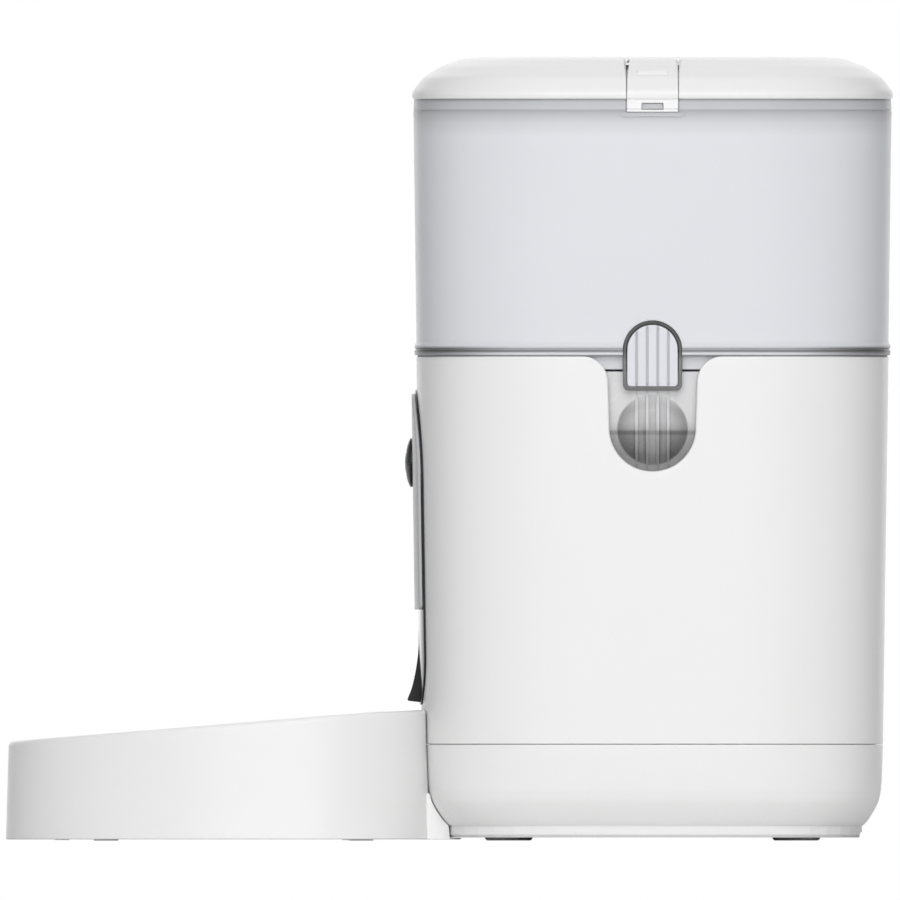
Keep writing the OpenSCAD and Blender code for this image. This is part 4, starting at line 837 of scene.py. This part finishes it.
mouth = rect(-22 * MM, 22 * MM, PLOW + 5.6 * MM, PLOW + 33.6 * MM)
light_lo, light_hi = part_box("status_light")
mic_lo, mic_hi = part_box("microphone")
LIGHT_Z = (light_lo.z + light_hi.z) / 2
MIC_Z = (mic_lo.z + mic_hi.z) / 2
CAMERA_HOLE = 9.85 * MM
FEED_HOLE = 8.25 * MM
carve(plate, [front_hole(CAMERA_HOLE, cam_z), front_hole(FEED_HOLE, feed_z),
              prism("c", mouth, "x", BX - HALF - 0.02, BX - HALF + 0.02)])
carve(face, [front_hole(CAMERA_HOLE, cam_z), front_hole(FEED_HOLE, feed_z),
             front_hole(1.45 * MM, LIGHT_Z), front_hole(0.9 * MM, MIC_Z)])
soften(face, 0.2 * MM, 60, 2)
finish_piece(plate, GLOSS, "black_gloss", "body", "panel_plate")
finish_piece(face, FACE, "panel_silver", "body", "front_panel")

front_x = BX - HALF
cam_ring = spin("camera_surround", [(x * MM, h * MM) for x, h in (
    (9.8, 3), (9.8, -2.35), (9.6, -2.6), (9.0, -2.9), (8.2, -3.25), (7.2, -3.6), (6.2, -3.85),
    (5.4, -4.05), (5.05, -4.1), (4.8, -4.0), (4.72, -3.6), (4.7, 3))], (front_x, 0, cam_z), "x", 96)
finish_piece(cam_ring, GLOSS, "black_gloss", "body", "camera_ring")
dome = [(4.6 * math.cos(t), -3.75 - 1.0 * math.sin(t))
        for t in np.linspace(0, math.pi / 2 * 0.97, 14)]
lens = spin("camera_dome", [(r * MM, h * MM) for r, h in [(0.2, -1.4), (4.6, -1.4)] + dome],
            (front_x, 0, cam_z), "x", 96, False)
fix_normals(lens)
finish_piece(lens, LENS, "lens_dark", "body", "camera_lens")
cap = (front_x - 2.2 * MM - body_out(feed_z)) / MM - front_x / MM + 0.1
inner = feed_hi.x / MM - front_x / MM
fb = [(0.2, cap + 0.3), (2.5, cap + 0.27), (5, cap + 0.18), (6.8, cap + 0.06), (7.5, cap + 0.0),
      (7.85, cap + 0.08), (8.0, cap + 0.3), (8.0, cap + 0.8), (2.4, cap + 0.8), (2.4, inner),
      (0.2, inner)]
button = spin("feed_button_skin", [(r * MM, h * MM) for r, h in fb], (front_x, 0, feed_z),
              "x", 96, False)
fix_normals(button)
finish_piece(button, WHITE_TRIM, "white_trim", "feed_button", "feed_button")

# ---------------------------------------------------------------- spout
SL = PLOW
flare = curve_through([(0.9, 30), (0.75, 22), (-0.25, 14), (-1.8, 7), (-3.3, 3.0), (-3.6, 2.2)], 6)
outline = [(front_x + x * MM, SL + z * MM) for x, z in flare]
outline += [(front_x + x * MM, SL + z * MM) for x, z in ((-3.5, 1.5), (2.3, 0.8), (1.9, 30))]
spout = prism("spout_skin", outline, "y", -26 * MM, 26 * MM)
carve(spout, [prism("c", [(front_x + 5 * MM, SL + 5.6 * MM), (front_x + 1 * MM, SL + 5.6 * MM),
                          (front_x - 4.4 * MM, SL + 3 * MM), (front_x - 6 * MM, SL + 40 * MM),
                          (front_x + 5 * MM, SL + 40 * MM)], "y", -22 * MM, 22 * MM)])
soften(spout, 0.35 * MM, 50, 3)
finish_piece(spout, SATIN, "black_satin", "body", "spout")

# ---------------------------------------------------------------- bowl tray
TZ = tray_lo.z
NOSE = tray_lo.x
TRAY_HALF = (tray_hi.y - tray_lo.y) / 2
TRAY_FRONT = 113.4 * MM
TRAY_BACK = 62 * MM
TX = NOSE + TRAY_FRONT
NOSE_H, BACK_H, SLOPE_LONG = 39.6, 53, 166
RISE = (BACK_H - NOSE_H) / SLOPE_LONG
TILT = math.atan(RISE)
BOWLX = NOSE + 77.4 * MM
BOWLZ = NOSE_H * MM + RISE * (BOWLX - NOSE)
BR = 65.2 * MM
BOW_LONG = 26 * MM


def tray_ring(o, z_of, seg=SEG):
    a = np.arange(seg) * 2 * math.pi / seg
    back = np.cos(a) >= 0
    hx = np.where(back, TRAY_BACK + o, TRAY_FRONT + o)
    n = np.where(back, 2.5, 2.3)
    r = ((np.abs(np.cos(a)) / hx) ** n + (np.abs(np.sin(a)) / (TRAY_HALF + o)) ** n) ** (-1 / n)
    x, y = TX + r * np.cos(a), r * np.sin(a)
    return np.stack([x, y, z_of(x)], 1)


def tray_top(d):
    """Height of the tray's sloping top at x, lowered by d, bowed down a little at its back."""
    def height(x):
        near = np.clip((x - BX + HALF + BOW_LONG) / BOW_LONG, 0, 1)
        return BOWLZ + RISE * (x - BOWLX) - d - 0.9 * MM * near ** 2
    return height


def tilted_ring(r, d, seg=SEG):
    a = np.arange(seg) * 2 * math.pi / seg
    p = np.stack([r * np.cos(a), r * np.sin(a), np.full(seg, -d), np.ones(seg)], 1)
    m = Matrix.Translation((BOWLX, 0, BOWLZ)) @ Matrix.Rotation(-TILT, 4, "Y")
    return (p @ np.array(m).T)[:, :3]


def draft(z):
    return -1.6 * MM * (z - TZ) / (70 * MM)


EDGE = 2.2 * MM
SIDE_H = 44 * MM


def level_at(z):
    return lambda x: np.full(len(x), z)


def part_way(t):
    """Heights of the side wall's ring, a share t of the way from its foot to the sloping top."""
    return lambda x: TZ + 0.5 * MM + (tray_top(EDGE)(x) - TZ - 0.5 * MM) * t


rings = [tray_ring(-0.4 * MM, level_at(TZ)), tray_ring(0, level_at(TZ + 0.5 * MM))]
for t in np.linspace(0.08, 1, 10):
    rings.append(tray_ring(draft(TZ + SIDE_H * t), part_way(t)))
top_o = draft(TZ + SIDE_H)
for t in np.linspace(0, math.pi / 2, 9)[1:]:
    rings.append(tray_ring(top_o - EDGE * (1 - math.cos(t)), tray_top(EDGE * (1 - math.sin(t)))))
outer = rings[-1]
rim = tilted_ring(BR + 6.3 * MM, 0)
for t in (0.3, 0.6, 0.85):
    mix = outer * (1 - t) + rim * t
    mix[:, 2] = tray_top(0)(mix[:, 0])
    rings.append(mix)
rings += [rim, tilted_ring(BR + 5.75 * MM, 0.15 * MM), tilted_ring(BR + 5.5 * MM, 0.5 * MM),
          tilted_ring(BR + 5.4 * MM, 1.2 * MM), tilted_ring(BR + 1.6 * MM, 1.2 * MM),
          tilted_ring(BR + 1.4 * MM, 1.5 * MM), tilted_ring(BR + 1.4 * MM, 6 * MM),
          tilted_ring(BR + 3.4 * MM, 6 * MM), tilted_ring(BR + 3.4 * MM, 3.2 * MM)]
rings += [tray_ring(-WALL - 1.2 * MM, tray_top(3.2 * MM)),
          tray_ring(-WALL, level_at(TZ + 2 * MM)), tray_ring(-WALL, level_at(TZ))]
tray = skin("tray_skin", rings, loop=True)
link_end = tray_hi.x
link = [(link_end - 22 * MM, TZ), (link_end - 0.6 * MM, TZ), (link_end, TZ + 0.3 * MM),
        (link_end, 18.4 * MM), (link_end - 0.5 * MM, 18.8 * MM), (link_end - 22 * MM, 18.8 * MM)]
link = prism("c", link, "y", -50 * MM, 50 * MM)
carve(tray, link, "UNION")
room = [(-10.2, 1.0), (-9.8, 5.6), (-9.8, 6)] + [(o + 0.4, z) for o, z in low_profile[2:]]
rings = [plan_ring(o * MM, z * MM, SEG) for o, z in room]
rings += [plan_ring(body_out(z) + 0.4 * MM, z, SEG) for z in (SEAM, SEAM + 0.04)]
carve(tray, skin("c", rings))
soften(tray, 0.35 * MM, 55, 3)
finish_piece(tray, WHITE, "white_shell", "tray", "bowl_tray")

# ---------------------------------------------------------------- steel bowl
depth = 33 * MM
t = 0.8 * MM
turn = arc(BR + t - 8 * MM, -depth + 8 * MM, 8 * MM, 270, 360, 12)
inner_turn = arc(BR + t - 8 * MM, -depth + 8 * MM, 8 * MM - t, 360, 270, 12)
profile = [(0.4 * MM, -depth)] + turn + [(BR + t, -1.6 * MM), (BR + t + 0.3 * MM, -1.0 * MM),
                                        (BR + t + 0.8 * MM, -t)]
profile += [(BR + 3.6 * MM, -t)] + arc(BR + 4.3 * MM, -t / 2, t * 0.62, 250, 470, 10)
profile += [(BR + 3.4 * MM, 0), (BR + 1.5 * MM, 0), (BR + 0.6 * MM, -0.15 * MM),
            (BR + 0.1 * MM, -0.7 * MM)]
profile += inner_turn + [(0.4 * MM, -depth + t)]
bowl = spin("steel_bowl", profile, (0, 0, 0), "z", 160, False)
bowl.data.transform(Matrix.Translation((BOWLX, 0, BOWLZ - 0.2 * MM))
                    @ Matrix.Rotation(-TILT, 4, "Y"))
fix_normals(bowl)
finish_piece(bowl, BOWL, "bowl_steel", "food_bowl", "food_bowl")

# ---------------------------------------------------------------- rubber feet
fx = (foot_hi.x - foot_lo.x) / 2 - 9.6 * MM
prof = [(0.2, 0.15), (6.4, 0.15), (6.9, 0), (8.4, 0), (8.9, 0.12), (9.35, 0.6), (9.6, 1.1),
        (9.6, 3.2), (0.2, 3.2)]
for sx in (-1, 1):
    for sy in (-1, 1):
        f = spin(f"foot_{'fb'[sx > 0]}{'rl'[sy > 0]}", [(r * MM, h * MM) for r, h in prof],
                 (BX + sx * fx, sy * fx, 0), "z", 64, False)
        fix_normals(f)
        node = ["rubber_feet"] if (sx, sy) == (-1, -1) else []
        finish_piece(f, RUBBER, "rubber_grey", "body", *node)

# ---------------------------------------------------------------- stage and light
floor = new_object("floor", [(-6, -6, 0), (6, -6, 0), (6, 6, 0), (-6, 6, 0)], [(0, 1, 2, 3)])
pale = procedural("floor", (0.85, 0.85, 0.85), 0.9, 0.004, 30, 0.0, specular=0.1)
floor.data.materials.append(pale)

FRONT, BACK, SIDE, OVERHEAD = 3.85, 1.4, 0.33, 0.68
world = bpy.data.worlds.new("world")
bpy.context.scene.world = world
world.use_nodes = True
wn = world.node_tree
wn.nodes.clear()


def wnode(kind, *inputs, **attrs):
    n = wn.nodes.new(kind)
    for k, v in attrs.items():
        setattr(n, k, v)
    for i, v in enumerate(inputs):
        if v is None:
            continue
        if isinstance(v, bpy.types.NodeSocket):
            wn.links.new(v, n.inputs[i])
        else:
            n.inputs[i].default_value = v
    return n.outputs[0]


where = wn.nodes.new("ShaderNodeTexCoord").outputs["Generated"]
split = wn.nodes.new("ShaderNodeSeparateXYZ")
wn.links.new(where, split.inputs[0])
aside = wnode("ShaderNodeMath", split.outputs["X"], operation="ABSOLUTE")
beside = wnode("ShaderNodeMapRange", aside, 0.1, 0.5, 0.0, 1.0, interpolation_type="SMOOTHSTEP")
ahead = wnode("ShaderNodeMapRange", split.outputs["Y"], -0.98, -0.3, FRONT, BACK,
              interpolation_type="SMOOTHSTEP")
level = wnode("ShaderNodeMix", beside, None, ahead, SIDE)
rise = wnode("ShaderNodeMapRange", split.outputs["Z"], 0.4, 0.95, 1.0, OVERHEAD,
             interpolation_type="SMOOTHSTEP")
level = wnode("ShaderNodeMath", level, rise, operation="MULTIPLY")
seen = wn.nodes.new("ShaderNodeLightPath").outputs["Is Camera Ray"]
level = wnode("ShaderNodeMix", seen, None, level, 1.0)
glow = wn.nodes.new("ShaderNodeBackground")
glow.inputs["Color"].default_value = (1, 1, 1, 1)
wn.links.new(level, glow.inputs["Strength"])
wn.links.new(glow.outputs[0], wn.nodes.new("ShaderNodeOutputWorld").inputs["Surface"])
bpy.context.scene.view_settings.view_transform = "Standard"
